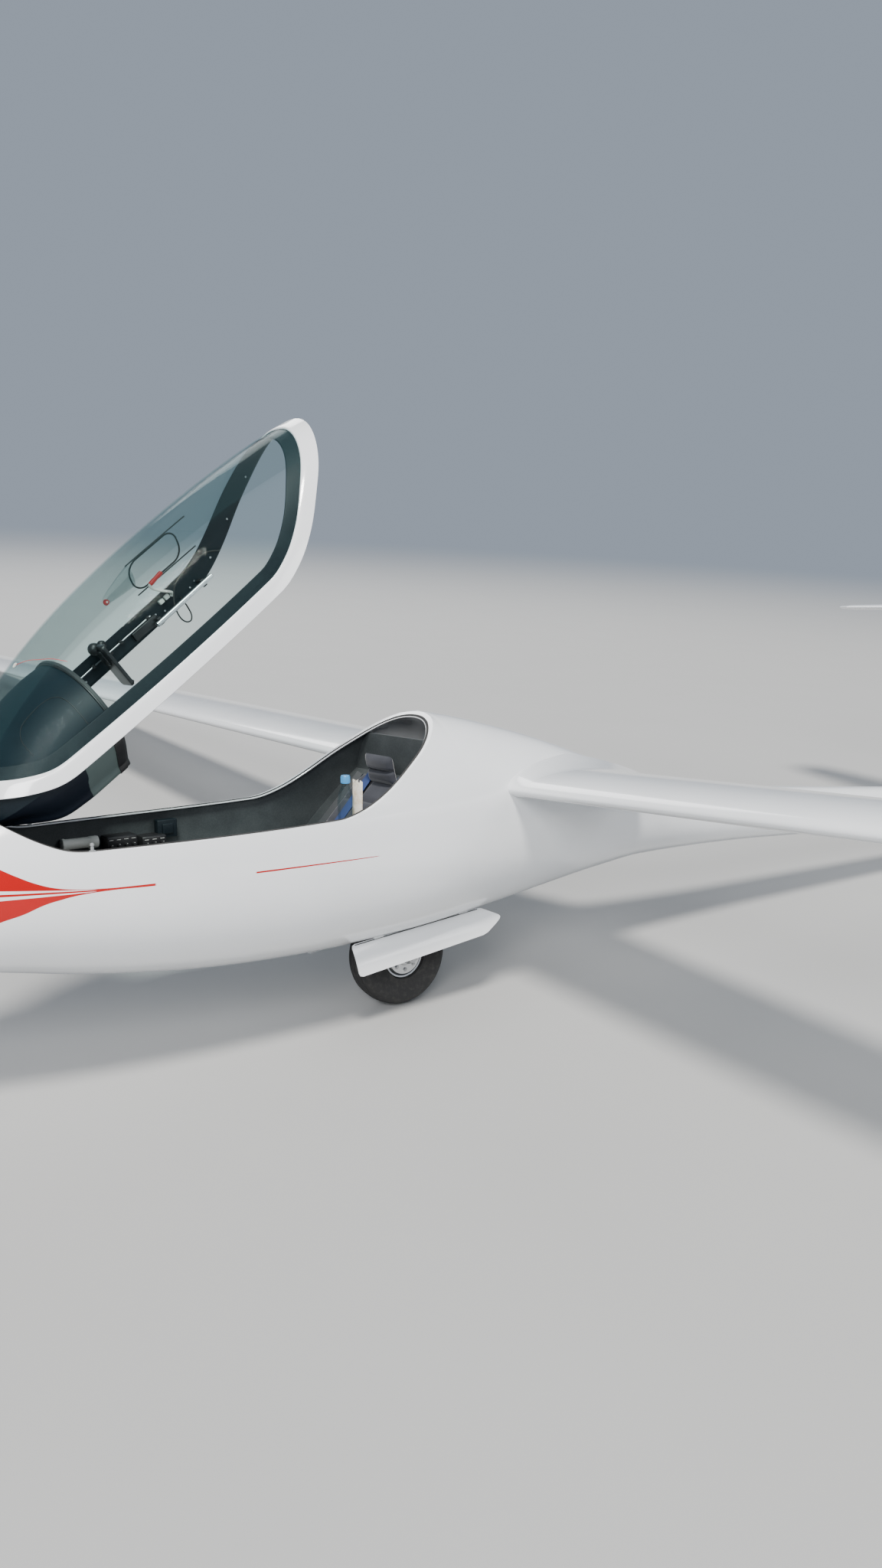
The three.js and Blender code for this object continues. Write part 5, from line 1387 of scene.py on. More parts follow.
def makeControls():
    s = cockpit["stick"]
    foot = Vector(s["foot"])
    bellows = mm(0, 0, 30, 0, 31, 4)
    for k in range(6):
        radius = 0.028 - 0.0032 * k
        bellows += [(radius, 0.01 + k * 0.015), (radius - 0.006, 0.0175 + k * 0.015)]
    bellows += mm(11.5, 102, 11.5, 108, 0, 108)
    lean = Vector(s["neck"]) - foot
    make("stick_boot", spun(bellows, foot, lean, 36), "black", sharp=60)
    shaft = tube(bent([tuple(foot + lean * 0.3), tuple(foot + lean * 0.7), s["neck"], (1.2885, 0, 0.6)], 6), 0.0095,
        20)
    make("stick_shaft", shaft, "greySteel", "control_stick", slot="dark_trim")
    low, high = Vector((1.2845, 0, 0.56)), Vector(s["top"])
    way = (high - low).normalized()
    fore = Vector((-way.z, 0, way.x))
    rings = []
    for t in np.linspace(0, 1, 25):
        fat = 0.0165 + 0.0012 * cos(t * pi * 8) * (0.15 < t < 0.78) + (0.0022 if t < 0.04 else 0)
        fat -= 0.01 * max(0.0, (t - 0.92) / 0.08) ** 2
        deep = fat * (1.16 + 0.1 * t)
        at = low + way * (high - low).length * t
        rings.append([tuple(at + fore * deep * cos(a) + Vector((0, 1, 0)) * fat * sin(a)) for a in circle(28)])
    make("stick_grip", loft(rings), "black", sharp=50)
    button = spun(mm(0, 0, 5.5, 0, 5.5, 4, 4.2, 5.5, 0, 6), high - way * 0.014 + fore * 0.0175, fore, 20)
    make("stick_button", button, "red")
    # rudder pedals on a bar from wall to wall
    wall = wallAt(0.64, 0.5, 0.0148)
    bar = [tube([(0.64, -wall, 0.5), (0.64, wall, 0.5)], 0.008, 20)]
    for side in (-1, 1):
        bar.append(spun(mm(7.9, 0, 14, 0, 14, 4, 7.9, 6), (0.64, side * wall, 0.5), (0, -side, 0), 20))
        bar.append(plate(rounded(0.064, 0.12, 0.016), 0.0045, (0.6485, side * 0.08, 0.53), (0, 1, 0), (0, 0, 1),
            0.0012))
        for k in range(7):
            z = 0.482 + k * 0.016
            bar.append(block((0.6525, side * 0.08 - 0.026, z - 0.0025), (0.656, side * 0.08 + 0.026, z + 0.0025),
                0.0009, steps=1))
        bar += [tube([(0.64, y, 0.5), (0.648, y, 0.514)], 0.006, 12)
            for y in (side * 0.08 - 0.024, side * 0.08 + 0.024)]
    make("pedals", bar, "alloy", "rudder_pedals", sharp=35)
    # lever handles on the port console
    for name, x, color, slot in (("airbrake", 1.18, "blue", "blue_plastic"), ("flap", 1.33, "black", "dark_trim")):
        post = [tube(bent([(x - 0.002, -0.248, 0.5855), (x, -0.248, 0.61), (x, -0.247, 0.64)], 6), 0.0062, 16),
            block((x - 0.03, -0.258, 0.5853), (x + 0.03, -0.238, 0.5885), 0.0012)]
        make(f"{name}_post", post, "steel", slot=slot)
        grip = mm(0, 0, 9.5, 0.4, 12, 4, 12.8, 16, 11.6, 26, 12.8, 36, 11.6, 46, 12.8, 56, 12.2, 66, 10, 70.8, 0, 72)
        make(f"{name}_grip", spun(grip, (x, -0.262, 0.64), (0, 1, 0), 32), color, f"{name}_handle", slot=slot,
            sharp=50)


def makeSides():
    x0, x1, inner, low, high = cockpit["console"]
    ends = [(0.0, 0.008), (0.002, 0.003), (0.008, 0.0)]
    spots = [(x0 + off, shrink) for off, shrink in ends] + [(x, 0.0) for x in np.linspace(x0 + 0.05, x1 - 0.05, 14)]
    spots += [(x1 - off, shrink) for off, shrink in ends[::-1]]
    for side, name in ((-1, "port"), (1, "starboard")):
        rings = []
        for x, shrink in spots:
            wall = [wallAt(x, z, cabin["face"]) for z in (low, high)]
            face = [(inner + 0.006 + shrink, high - shrink), (inner + 0.0018 + shrink, high - 0.0018 - shrink),
                (inner + shrink, high - 0.006 - shrink), (inner + shrink, low + 0.004 + shrink),
                (inner + 0.004 + shrink, low + shrink)]
            rings.append([(x, side * y, z) for y, z in [(wall[1], high - shrink), *face, (wall[0], low + shrink)]])
        make(f"console_{name}", loft(rings), "grey", f"side_console_{name}", sharp=32)
    # slots for the levers and a rubber strip on each console
    trims = [block((1.08, -0.252, 0.5849), (1.29, -0.244, 0.5862), 0.0005, steps=1),
        block((1.3, -0.252, 0.5849), (1.48, -0.244, 0.5862), 0.0005, steps=1)]
    trims += [tube([(x, side * 0.2125, 0.5846) for x in np.linspace(1.03, 1.59, 20)], 0.0022, 8) for side in (-1, 1)]
    make("console_trim", trims, "seal")
    # pocket behind the port console, with a rim
    x0, x1, inner, low, high = cockpit["pocket"]
    rings = []
    for z, shrink in ((low, 0.006), (low + 0.004, 0.001), (low + 0.012, 0.0), (high - 0.01, 0.0),
            (high - 0.008, -0.002), (high - 0.002, -0.002), (high, 0.0)):
        ring = [(x1 - shrink, inner - shrink - 0.006, z), (x1 - shrink - 0.006, inner - shrink, z),
            (x0 + shrink + 0.006, inner - shrink, z), (x0 + shrink, inner - shrink - 0.006, z)]
        ring += [(x, -wallAt(x, z, cabin["face"]), z) for x in np.linspace(x0 + shrink, x1 - shrink, 6)]
        rings.append(ring)
    make("side_pocket", loft(rings), "dark", "side_pocket_port", sharp=35)
    at = cockpit["bottle"]
    flask = mm(0, 0, 21.5, 0, 25.8, 3, 26.5, 10)
    for k in range(5):
        flask += [(0.0268, 0.02 + k * 0.018), (0.0252, 0.029 + k * 0.018)]
    flask += mm(26.8, 112, 26.2, 128, 22.5, 145, 16, 160, 12.8, 168, 12.4, 176, 0, 176)
    make("bottle_body", spun(flask, at, (0, 0, 1), 40), "water", "drink_bottle", sharp=60)
    cap = mm(0, 176.5, 14, 176.5, 14.4, 178, 14.4, 198, 13.2, 201.5, 0, 202.2)
    knurl = [tube([Vector(at) + Vector((0.0144 * cos(t), 0.0144 * sin(t), z)) for z in (0.179, 0.197)], 0.0006, 5)
        for t in circle(36)]
    make("bottle_cap", [spun(cap, at, (0, 0, 1), 40), *knurl], "cap")
    # folded map that stands behind the bottle
    rows = []
    for k, y in enumerate(np.linspace(-0.262, -0.212, 13)):
        sway = 0.0035 * (-1) ** k
        rows.append([(1.661 + sway + 0.006 * t, y, 0.6765 + 0.176 * t + 0.006 * sin(k * 1.3) * t)
            for t in np.linspace(0, 1, 5)])
    rows = np.array(rows)
    make("folded_map", walled(rows, rows + np.array((0.0008, 0, 0))), "paper", sharp=20)
    # duct, boxes and bracket along the starboard wall
    duct = spun(mm(0, 0, 16.5, 0, 19.5, 2, 19.5, 10, 17.5, 13, 17.5, 88, 19.5, 91, 20, 112, 18.5, 118, 15, 118.5, 15,
        110, 0, 110), (0.8805, 0.268, 0.669), (1, 0, -0.017), 36)
    clips = [block((x - 0.005, 0.262, 0.6465), (x + 0.005, wallAt(x, 0.66, cabin["face"]), 0.6555), 0.0012)
        for x in (0.9, 0.975)]
    make("duct", [duct, *clips], "pale", "air_duct", sharp=40)
    for name, (a, b), (z0, z1), face in (("front", (1.02, 1.12), (0.63, 0.68), 0.236),
            ("rear", (1.14, 1.222), (0.626, 0.666), 0.24)):
        rings = []
        for x, shrink in ((a, 0.003), (a + 0.001, 0.001), (a + 0.003, 0.0), (b - 0.003, 0.0), (b - 0.001, 0.001),
                (b, 0.003)):
            top, low = wallAt(x, z1, cabin["face"]), wallAt(x, z0, cabin["face"])
            rings.append([(x, top, z1 - shrink), (x, face + 0.004, z1 - shrink),
                (x, face + 0.001 + shrink, z1 - 0.002 - shrink), (x, face + shrink, z1 - 0.005 - shrink),
                (x, face + shrink, z0 + 0.005 + shrink), (x, face + 0.002 + shrink, z0 + 0.002 + shrink),
                (x, face + 0.005, z0 + shrink), (x, low, z0 + shrink)])
        count = 4 if name == "front" else 3
        spots = [a + (b - a) * (k + 0.5) / count for k in range(count)]
        knobs = [spun(mm(0, 0, 6.5, 0, 6.5, 3, 4.8, 9, 0, 9.5), (x, face, (z0 + z1) / 2 - 0.004), (0, -1, 0), 20)
            for x in spots]
        make(f"switches_{name}", [loft(rings), *knobs], "black", f"switch_box_{name}", sharp=35)
        marks = [block((x - 0.001, face - 0.0098, (z0 + z1) / 2 - 0.0005),
            (x + 0.001, face - 0.009, (z0 + z1) / 2 + 0.001), 0, steps=1) for x in spots]
        marks += [block((x - 0.007, face - 0.0004, z1 - 0.0115), (x + 0.007, face + 0.0006, z1 - 0.01), 0)
            for x in spots]
        make(f"switch_marks_{name}", marks, "mark", slot="dark_trim")
    wall = wallAt(1.24, 0.68, cabin["face"])
    bracket = [block((1.206, wall - 0.03, 0.648), (1.276, wall + 0.001, 0.709), 0.004),
        block((1.222, wall - 0.036, 0.662), (1.26, wall - 0.028, 0.696), 0.003)]
    make("handset_bracket", bracket, "dark", sharp=35)
    # locating peg on each sill
    pegs = []
    for side in (-1, 1):
        x, y, z = cockpit["peg"]
        pegs.append(spun(mm(0, -3, 9.5, -3, 9.5, 2.5, 5, 4, 4.6, 15, 6.2, 17.5, 5, 22.5, 2, 24.5, 0, 24.5),
            (x, side * -y, z), (0, 0, 1), 24))
    make("locating_pegs", pegs, "greySteel", slot="steel")
    # pad on the port rail of the canopy
    outer, inner = [], []
    for x in np.linspace(1.02, 1.3, 57):
        u = (x - 1.02) / 0.28
        rows = ([], [])
        for v in np.linspace(-1, 1, 21):
            half = 0.025 * (1 - 0.06 * sin(pi * u))
            z = 0.79 + half * v
            rim = (max(0.0, 1 - v ** 4) * max(0.0, 1 - (2 * u - 1) ** 10)) ** 0.5
            groove = 0.4 * exp(-((u - 0.5) * 0.28 / 0.004) ** 2)
            deep = 0.003 + 0.011 * rim * (1 - groove)
            rows[0].append((x, -wallAt(x, z, 0.0195 + deep), z))
            rows[1].append((x, -wallAt(x, z, 0.019), z))
        outer.append(rows[0])
        inner.append(rows[1])
    pad = make("rail_pad", walled(outer, inner), "seat", on="canopy", sharp=60)
    # hinge at the nose, and the hook below the cockpit
    for node in ("hinge_bracket", "canopy_arm"):
        bpy.data.objects[node].data.materials.clear()
        bpy.data.objects[node].data.materials.append(finish["greySteel"])
    low = hullPoint(1.595, -pi / 2)[2]
    hook = [block((1.562, -0.0155, 0.2575), (1.628, 0.0155, low + 0.006), 0.003),
        block((1.572, -0.009, 0.2535), (1.618, 0.009, 0.26), 0.002),
        spun(mm(0, -19, 4.5, -19, 4.5, 19, 0, 19), (1.6, 0, 0.2625), (0, 1, 0), 18)]
    make("release_hook", hook, "steel", "tow_hook")


makeSeat()
makeControls()
makeSides()
print("cockpit made")


# wheels, fork, doors and the tail wheel
gear = {
    # radius, distance to the side; two tyres share 6000 faces
    "tyre": mm(81, -44, 84, -52.5, 92, -50.5, 120, -59, 146, -63, 160, -59, 170, -49, 175.5, -38, 177.5, -27.5, 174,
        -26.5, 174, -23.5, 178.5, -22.5, 180.8, -2.5, 176.5, -1.5),
    "sides": 84,
    "tailTyre": mm(46, -22, 50, -25.5, 66, -28, 84, -27, 96, -20, 103, -10, 105, 0),
    "tailSides": 48,
    "hub": mm(12.4, -58, 30, -58, 34, -54, 34, -32, 40, -26, 60, -22, 66, -25, 70, -33, 74, -42.5, 79.2, -43.5, 80,
        -41.5, 78, -34, 75, -30),
    "bolts": (0.05, 8), "pivot": (1.85, 0.432), "strut": (2.14, 0.44), "arm": (0.08, 0.012), "bayHalf": 0.1397,
    "door": {"start": (1.694, 0.136, 0.288), "flare": radians(20), "slope": radians(4.3), "wall": 0.0036,
        "bulge": 0.005,
        "top": mm(0, -14, 4, -4, 14, 0, 530, 0, 552, -5, 600, -34, 616, -44, 622, -52),
        "low": mm(0, -98, 4, -108, 14, -112, 530, -99, 552, -94, 600, -70, 616, -60, 622, -52)},
    "cheek": mm(6000, 214, 6040, 174, 6090, 136, 6130, 108, 6170, 88, 6205, 86.5, 6240, 88, 6285, 112, 6330, 140,
        6355, 172, 6372, 206),
    "slot": (6.078, 6.322, 0.038),
}


def mirrored(profile):
    return profile + [(r, -y) for r, y in profile[::-1] if y != 0]


def makeWheels():
    mainAxle = tuple(hull["mainAxle"])
    tread = turned(mirrored(gear["tyre"]), mainAxle, gear["sides"])
    make("main_tyre_rubber", tread, "tyre", "main_tyre", on="main_wheel", sharp=38)
    hub = [turned(mirrored(gear["hub"]), mainAxle, 96),
        turned(mm(36, -50, 65.5, -50, 65.5, -46.5, 36, -46.5), mainAxle, 72),
        turned(mm(33, -52, 40, -52, 40, -30, 33, -30), mainAxle, 48)]
    stem = Vector(mainAxle) + Vector((0.066, 0.027, 0))
    hub.append(spun(mm(0, 0, 4.2, 0, 4.2, 10, 3.4, 12, 3.4, 20, 0, 20), stem, (-0.35, 1, 0), 14))
    make("main_hub_halves", hub, "alloy", "main_hub", on="main_wheel", slot="hub", sharp=35)
    axle = [tube([hull["mainAxle"] + Vector((0, y, 0)) for y in (-0.0797, 0.0797)], 0.012, 28)]
    for side in (-1, 1):
        axle += [spun(mm(11.9, 59, 19, 59, 19, 64, 15, 65, 15, 79, 11.9, 79), mainAxle, (0, side, 0), 28),
            spun(mm(0, 92.5, 16.5, 92.5, 17.5, 93.5, 17.5, 101, 16.5, 102, 8.5, 102, 8.5, 106, 0, 106.5), mainAxle,
            (0, side, 0), 6)]
    make("axle_and_nuts", axle, "steel", "main_axle", sharp=25)
    # fork arms, cross tubes and gas struts
    (px, pz), (sx, sz) = gear["pivot"], gear["strut"]
    low, thick = gear["arm"]
    body = []
    wheel, pivot = hull["mainAxle"], Vector((px, 0, pz))
    way = (pivot - wheel).normalized()
    across = Vector((-way.z, 0, way.x))
    edge = []
    for centre, turn in ((Vector((0, 0)), pi), (Vector(((pivot - wheel).length, 0)), 0)):
        for t in np.linspace(-pi / 2, pi / 2, 13):
            edge.append((centre.x + 0.024 * cos(t + turn), centre.y + 0.024 * sin(t + turn)))
    for side in (-1, 1):
        start = wheel + Vector((0, low if side > 0 else -low - thick, 0))
        arm = plate(edge, thick, start, way, across, 0.0016)
        if way.cross(across).y < 0:
            arm = ([(x, 2 * start.y + thick - y, z) for x, y, z in arm[0]], arm[1])
        body += [arm, tube([wheel.lerp(pivot, t) + Vector((0, side * (low + thick + 0.001), 0))
            for t in (0.12, 0.5, 0.88)], 0.0045, 12)]
    for x, z in (gear["pivot"], gear["strut"]):
        half = gear["bayHalf"]
        body.append(spun([(0, -half), (0.015, -half), (0.015, half), (0, half)], (x, 0, z), (0, 1, 0), 28))
        for side in (-1, 1):
            body += [spun(mm(14.9, 70, 21, 71, 22, 75, 22, 99, 21, 102, 14.9, 103), (x, 0, z), (0, side, 0), 28),
                spun([(0.0149, half - 0.01), (0.024, half - 0.01), (0.026, half - 0.008), (0.026, half),
                (0.0149, half)], (x, 0, z), (0, side, 0), 28)]
    make("fork_frame", body, "greySteel", "gear_fork", sharp=35)
    struts = []
    for side in (-1, 1):
        y = side * 0.086
        a, b = Vector((1.905, y, 0.32)), Vector((sx, y, sz))
        run = (b - a).length
        struts += [spun([(0, 0.0), (0.01, 0.0), (0.01, 0.02), (0.0062, 0.022), (0.0062, run * 0.36),
            (0.0105, run * 0.36), (0.0122, run * 0.37), (0.0122, run * 0.9), (0.01, run * 0.92), (0.008, run),
            (0, run)], a, b - a, 28), spun(mm(0, -10, 14, -10, 15, -8.5, 15, 8.5, 14, 10, 0, 10), a, (0, 1, 0), 28)]
    make("gear_struts", struts, "alloy", slot="grey_steel", sharp=35)


def makeDoors():
    d = gear["door"]
    top, low = np.array(d["top"]), np.array(d["low"])
    for side, name in ((-1, "port"), (1, "starboard")):
        start = Vector((d["start"][0], side * d["start"][1], d["start"][2]))
        along = Vector((cos(d["slope"]), 0, sin(d["slope"])))
        rise = Vector((-sin(d["slope"]) * cos(d["flare"]), -side * sin(d["flare"]),
            cos(d["slope"]) * cos(d["flare"])))
        out = Vector((0, side * cos(d["flare"]), sin(d["flare"])))

        def onDoor(x, r, off=0.0):
            curve = d["bulge"] * max(0.0, 1 - ((r + 0.056) / 0.056) ** 2)
            return start + along * x + rise * r + out * (curve + off)
        xs = np.unique(np.concatenate([top[:, 0], low[:, 0], np.linspace(0.02, 0.52, 26)]))
        outer, inner = [], []
        for x in xs:
            a, b = np.interp(x, top[:, 0], top[:, 1]), np.interp(x, low[:, 0], low[:, 1])
            outer.append([onDoor(x, r) for r in np.linspace(a, b, 13)])
            inner.append([onDoor(x, r, -d["wall"]) for r in np.linspace(a, b, 13)])
        body = [walled(outer, inner)]
        for x in (0.11, 0.3, 0.47):     # stiffeners and hinge lugs inside
            rib = [onDoor(x, r, -d["wall"] - 0.004) for r in np.linspace(-0.008, -0.096, 9)]
            body.append(tube(rib, 0.0042, 8))
        for x in (0.09, 0.45):
            z = d["start"][2] + x * sin(d["slope"])
            y0, y1 = sorted((side * 0.1318, side * gear["bayHalf"]))
            body.append(block((d["start"][0] + x, y0, z - 0.01), (d["start"][0] + x + 0.04, y1, z + 0.03), 0.002))
        make(f"door_{name}", body, "white", f"gear_door_{name}", sharp=35)
        seam = [onDoor(x, -0.0045, 0.0006) for x in np.linspace(0.012, 0.534, 30)]
        pins = [spun(mm(0, 0, 3.2, 0, 3.2, 56, 0, 56), onDoor(x - 0.008, 0.004, -0.0045), along, 12)
            for x in (0.09, 0.45)]
        make(f"door_seam_{name}", [tube(seam, 0.0016, 8), *pins], "seal")


def makeTailWheel():
    tailAxle = tuple(hull["tailAxle"])
    make("tail_tyre_rubber", turned(mirrored(gear["tailTyre"]), tailAxle, gear["tailSides"]), "tyre", "tail_tyre",
        on="tail_wheel", sharp=60)
    hub = mm(0, -37.7, 8, -37.7, 8, -24.5, 14, -24, 16, -18, 36, -12, 40, -18, 45, -20)
    hub += [(r, -y) for r, y in hub[::-1]]
    make("tail_hub_disc", spun(hub, tailAxle, (0, 1, 0), 48), "alloy", "tail_hub", on="tail_wheel", slot="hub",
        sharp=35)
    front, rear, half = gear["slot"]
    line = np.array([(x, z) for x, _, z in bent([(x, 0, z) for x, z in gear["cheek"]], 5)])
    middle = line.mean(0)

    def ring(points, y, pull=0.0):
        ways = middle - points
        moved = points + ways / np.linalg.norm(ways, axis=1)[:, None] * pull
        return [(x, y, z) for x, z in moved]
    bodies = [loft([ring(line, side * y, pull) for y, pull in ((half, 0.0), (0.043, 0.0), (0.0452, 0.0012),
        (0.0464, 0.0035), (0.0469, 0.007), (0.047, 0.011))]) for side in (-1, 1)]
    nose = np.array([p for p in line if p[0] < front]
        + [(front, np.interp(front, line[:, 0], line[:, 1])), (front, 0.214)])
    heel = np.array([(rear, 0.206), (rear, np.interp(rear, line[:, 0], line[:, 1]))]
        + [p for p in line if p[0] > rear])
    bodies += [loft([[(x, y, z) for x, z in part] for y in (-half - 0.0005, half + 0.0005)]) for part in (nose, heel)]
    make("tail_fairing", bodies, "white", "tail_wheel_fairing", sharp=40)
    lead = straightAt(tail["fin"], 0.98)[1]
    probe = spun([(0, 0.0), (0.0022, 0.0), (0.0032, 0.004), (0.0034, 0.06), (0.005, 0.075),
        (0.005, lead + 0.006 - 5.69), (0, lead + 0.006 - 5.69)], (5.69, 0, 0.98), (1, 0, 0), 24)
    socket = spun(mm(4.9, -12, 7.5, -10, 9.5, 0, 9.5, 10, 4.9, 10), (lead, 0, 0.98), (1, 0, 0), 24)
    make("probe", [probe, socket], "alloy", "fin_probe")


makeWheels()
makeDoors()
makeTailWheel()
print("undercarriage made")


# screws, bolts and stitches: one small shape set out on points that know which way they face
fixings = {"seed": 11, "railScrew": 0.0034, "panelScrew": 0.0024, "dialScrew": 0.0015, "hubBolt": 0.006,
    "flangeBolt": 0.003, "consoleScrew": 0.0034, "fairingScrew": 0.003, "stitchGap": 0.0058, "stitch": 0.0019}


def setOutTree():
    tree = bpy.data.node_groups.new("set_out", "GeometryNodeTree")
    inputs = {}
    for label, kind in (("Points", "NodeSocketGeometry"), ("Shape", "NodeSocketObject"), ("Size", "NodeSocketFloat"),
            ("Turn", "NodeSocketFloat"), ("Seed", "NodeSocketInt"), ("Finish", "NodeSocketMaterial")):
        inputs[label] = tree.interface.new_socket(name=label, in_out="INPUT", socket_type=kind).identifier
    tree.interface.new_socket(name="Geometry", in_out="OUTPUT", socket_type="NodeSocketGeometry")

    def add(kind, **settings):
        made = tree.nodes.new(kind)
        for key, value in settings.items():
            setattr(made, key, value)
        return made
    start, end = add("NodeGroupInput"), add("NodeGroupOutput")
    facing = add("GeometryNodeInputNamedAttribute", data_type="FLOAT_VECTOR")
    facing.inputs["Name"].default_value = "facing"
    align = add("FunctionNodeAlignRotationToVector", axis="Z")
    chance = add("FunctionNodeRandomValue", data_type="FLOAT")
    spin = add("FunctionNodeAxisAngleToRotation")
    spin.inputs["Axis"].default_value = (0, 0, 1)
    twist = add("FunctionNodeRotateRotation", rotation_space="LOCAL")
    shape = add("GeometryNodeObjectInfo")
    place = add("GeometryNodeInstanceOnPoints")
    real, coat = add("GeometryNodeRealizeInstances"), add("GeometryNodeSetMaterial")
    pick = {socket.name: socket for socket in start.outputs}
    for out, into in ((facing.outputs[0], align.inputs["Vector"]), (pick["Turn"], chance.inputs[3]),
            (pick["Seed"], chance.inputs["Seed"]), (chance.outputs[1], spin.inputs["Angle"]),
            (align.outputs[0], twist.inputs["Rotation"]), (spin.outputs[0], twist.inputs["Rotate By"]),
            (pick["Shape"], shape.inputs["Object"]), (pick["Points"], place.inputs["Points"]),
            (shape.outputs["Geometry"], place.inputs["Instance"]), (twist.outputs[0], place.inputs["Rotation"]),
            (pick["Size"], place.inputs["Scale"]), (place.outputs[0], real.inputs[0]),
            (real.outputs[0], coat.inputs[0]), (pick["Finish"], coat.inputs["Material"]),
            (coat.outputs[0], end.inputs[0])):
        tree.links.new(out, into)
    return tree, inputs


def setOut(name, shape, spots, size, look, on="airframe", slot=None, turn=6.283):
    tree, inputs = fixings["tree"]
    mesh = bpy.data.meshes.new(name)
    mesh.from_pydata([tuple(at) for at, _ in spots], [], [])
    ways = np.array([tuple(Vector(way).normalized()) for _, way in spots], np.float32)
    mesh.attributes.new("facing", "FLOAT_VECTOR", "POINT").data.foreach_set("vector", ways.ravel())
    host = shown(name, mesh)
    nodes = host.modifiers.new("set_out", "NODES")
    nodes.node_group = tree
    for label, value in (("Shape", shape), ("Size", size), ("Turn", turn), ("Seed", fixings["seed"]),
            ("Finish", finish[look])):
        nodes[inputs[label]] = value
    plainMesh = bpy.data.meshes.new_from_object(host.evaluated_get(bpy.context.evaluated_depsgraph_get()))
    host.modifiers.remove(nodes)
    host.data = plainMesh
    plainMesh.transform(lifted if on == "canopy" else stand)
    settle(host, on, slot or slotOf[look])


def makeFixings():
    # heads of unit radius; the socket is sunk into the screw, the bolt sits on a washer
    screw = meshPiece("screw_shape", *spun([(0.0, -0.3), (1.0, -0.3), (1.0, 0.1), (0.9, 0.34), (0.6, 0.52),
        (0.42, 0.55), (0.42, 0.2), (0.0, 0.2)], (0, 0, 0), (0, 0, 1), 12), finish["steel"], place=Matrix())
    bolt = meshPiece("bolt_shape", *gather(spun([(0.0, -0.2), (1.35, -0.2), (1.35, 0.1), (1.28, 0.18), (0.0, 0.18)],
        (0, 0, 0), (0, 0, 1), 20), spun([(0.0, 0.1), (1.0, 0.1), (1.0, 0.8), (0.88, 0.92), (0.0, 0.92)], (0, 0, 0),
        (0, 0, 1), 6)), finish["steel"], place=Matrix())
    stitch = meshPiece("stitch_shape", *spun([(0.0, -1.05), (0.2, -0.95), (0.28, -0.5), (0.3, 0.0), (0.28, 0.5),
        (0.2, 0.95), (0.0, 1.05)], (0, 0, 0), (0, 0, 1), 6), finish["mark"], place=Matrix())
    fixings["tree"] = setOutTree()
    rail = []
    for side in (-1, 1):
        for x in np.arange(0.62, 1.93, 0.118):
            z = sillAt(x, canopy["gap"] + 0.024)
            rail.append(((x, side * wallAt(x, z, 0.0193), z), (0, -side, 0)))
    for x in latch["lugs"]:
        wall = wallAt(x, 0.772, 0.0135)
        rail += [((x + off, wall - 0.0052, 0.7835), (0, -1, 0)) for off in (-0.01, 0.01)]
    setOut("rail_screws", screw, rail, fixings["railScrew"], "steel", on="canopy")
    face, lean = hood["stations"][-1, 0] + 0.0006 + hood["panel"], hood["lean"]

    def onPanel(y, z):
        return (face - lean * (0.96 - z) + 0.0002, y, z), (1, 0, -lean)
    board = [onPanel(y, z) for _, y, z in archRow(0.968, 0.011, 0.006)[::4]]
    board += [onPanel(y, z) for y, z in ((-0.14, 0.69), (-0.105, 0.645), (0.105, 0.645), (0.14, 0.69))]
    setOut("panel_screws", screw, board, fixings["panelScrew"], "steel", on="canopy", slot="panel")
    dials = []
    for y, z, radius in hood["dials"]:
        dials += [onPanel(y + radius * 1.16 * cos(t), z + radius * 1.16 * sin(t))
            for t in np.radians([45, 135, 225, 315])]
    setOut("dial_screws", screw, dials, fixings["dialScrew"], "black", on="canopy", slot="panel")
    console = [((x, side * 0.262 + (0.02 if side > 0 else 0), 0.5852), (0, 0, 1)) for side in (-1, 1)
        for x in (1.045, 1.5, 1.575)]
    console += [((0.4393, side * 0.045, z), (1, 0, 0)) for side in (-1, 1) for z in (0.785, 0.806)]
    setOut("cockpit_screws", screw, console, fixings["consoleScrew"], "steel")
    radius, count = gear["bolts"]
    hub = []
    for t in circle(count):
        at = hull["mainAxle"] + Vector((radius * cos(t), 0, radius * sin(t)))
        hub += [(at + Vector((0, 0.0242, 0)), (0, 1, 0)), (at + Vector((0, -0.0503, 0)), (0, -1, 0))]
    setOut("hub_bolts", bolt, hub, fixings["hubBolt"], "steel", on="main_wheel", turn=0.0)
    flange = []
    for x, z in (gear["pivot"], gear["strut"]):
        for side in (-1, 1):
            flange += [((x + 0.0205 * cos(t), side * (gear["bayHalf"] - 0.0098), z + 0.0205 * sin(t)), (0, -side, 0))
                for t in circle(3) + 0.5]
    setOut("fork_bolts", bolt, flange, fixings["flangeBolt"], "steel", slot="grey_steel")
    tailScrews = [((x, side * 0.0471, 0.16), (0, side, 0)) for side in (-1, 1) for x in (6.095, 6.2, 6.3)]
    setOut("fairing_screws", screw, tailScrews, fixings["fairingScrew"], "steel", slot="gelcoat")
    # a stitch every few millimetres along the seams of the cushions
    spots = []
    for line in cockpit["seams"]:
        run = runAlong(line)
        for d in np.arange(fixings["stitchGap"], run[-1], fixings["stitchGap"]):
            at, near = (np.array([np.interp(q, run, line[:, k]) for k in range(3)]) for q in (d, d + 0.001))
            spots.append((at + np.array((0, 0, 0.0004)), near - at))
    setOut("seat_stitches", stitch, spots, fixings["stitch"], "thread")
    for shape in (screw, bolt, stitch):
        bpy.data.objects.remove(shape)


makeFixings()
print("screws, bolts and stitches set out")


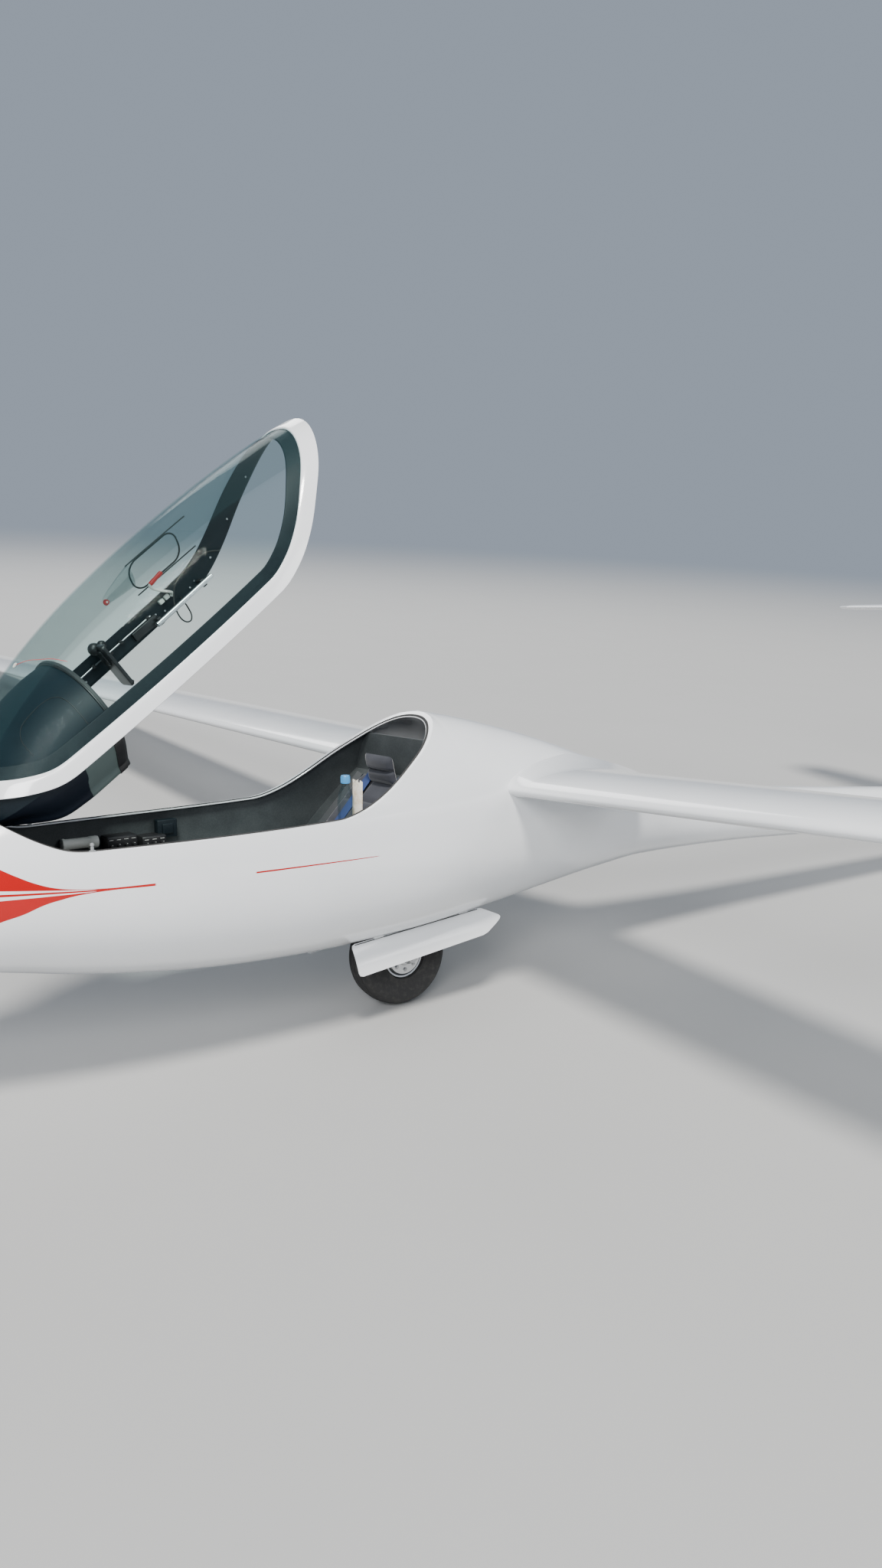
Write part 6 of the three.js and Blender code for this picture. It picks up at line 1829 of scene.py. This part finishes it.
studio = {"sky": (0.68, 0.79, 0.95), "strength": 0.46, "floor": (0.42, 0.42, 0.415), "horizon": (9.0, 34.0),
    "glow": 0.46, "aim": (-1.5, 0, 0.8), "sun": {"from": (-0.34, -0.4, 1.0), "energy": 4.5, "angle": radians(12),
    "color": (1.0, 0.965, 0.91)}}


def makeStudio():
    made = bmesh.new()
    bmesh.ops.create_grid(made, x_segments=8, y_segments=8, size=90)
    mesh = bpy.data.meshes.new("studio_floor")
    made.to_mesh(mesh)
    made.free()
    floor = shown("studio_floor", mesh)
    floor.location.z = -0.0006
    paint = Paint("pale_floor")
    where = paint.around()
    soft = paint.noise(where, 1.5, 3.0)
    paint.wear(Base_Color=paint.blend(soft * 0.4, studio["floor"], (0.37, 0.37, 0.365)), Roughness=0.75 + soft * 0.1)
    # far away the floor goes over into the background
    away = paint.node("ShaderNodeVectorMath", {"operation": "LENGTH"}, where, out="Value")
    glow = paint.node("ShaderNodeEmission", None, (*studio["sky"], 1), studio["glow"])
    mix = paint.node("ShaderNodeMixShader", None, away.step(*studio["horizon"]), Wire(paint, paint.shader.outputs[0]),
        glow)
    paint.tree.links.new(mix.socket, paint.output.inputs["Surface"])
    mesh.materials.append(paint.material)
    world = bpy.data.worlds.new("studio_light")
    bpy.context.scene.world = world
    world.use_nodes = True
    background = world.node_tree.nodes["Background"]
    background.inputs[0].default_value = (*studio["sky"], 1)
    background.inputs[1].default_value = studio["strength"]

    def hang(name, data, place):
        lamp = shown(name, data)
        lamp.location = place
        lamp.rotation_mode = "QUATERNION"
        lamp.rotation_quaternion = (Vector(studio["aim"]) - Vector(place)).to_track_quat("-Z", "Y")
    sun = bpy.data.lights.new("soft_sun", "SUN")
    for key in ("energy", "angle", "color"):
        setattr(sun, key, studio["sun"][key])
    hang("soft_sun", sun, Vector(studio["sun"]["from"]) * 12 + Vector(studio["aim"]))
    for name, place, size, energy in (("front_box", (-17, -15, 13), 8, 4400), ("side_box", (8, -19, 11), 8, 1100),
            ("far_box", (4, 19, 13), 9, 1200)):
        data = bpy.data.lights.new(name, "AREA")
        data.size, data.energy = size, energy
        hang(name, data, place)


makeStudio()
print("studio made")
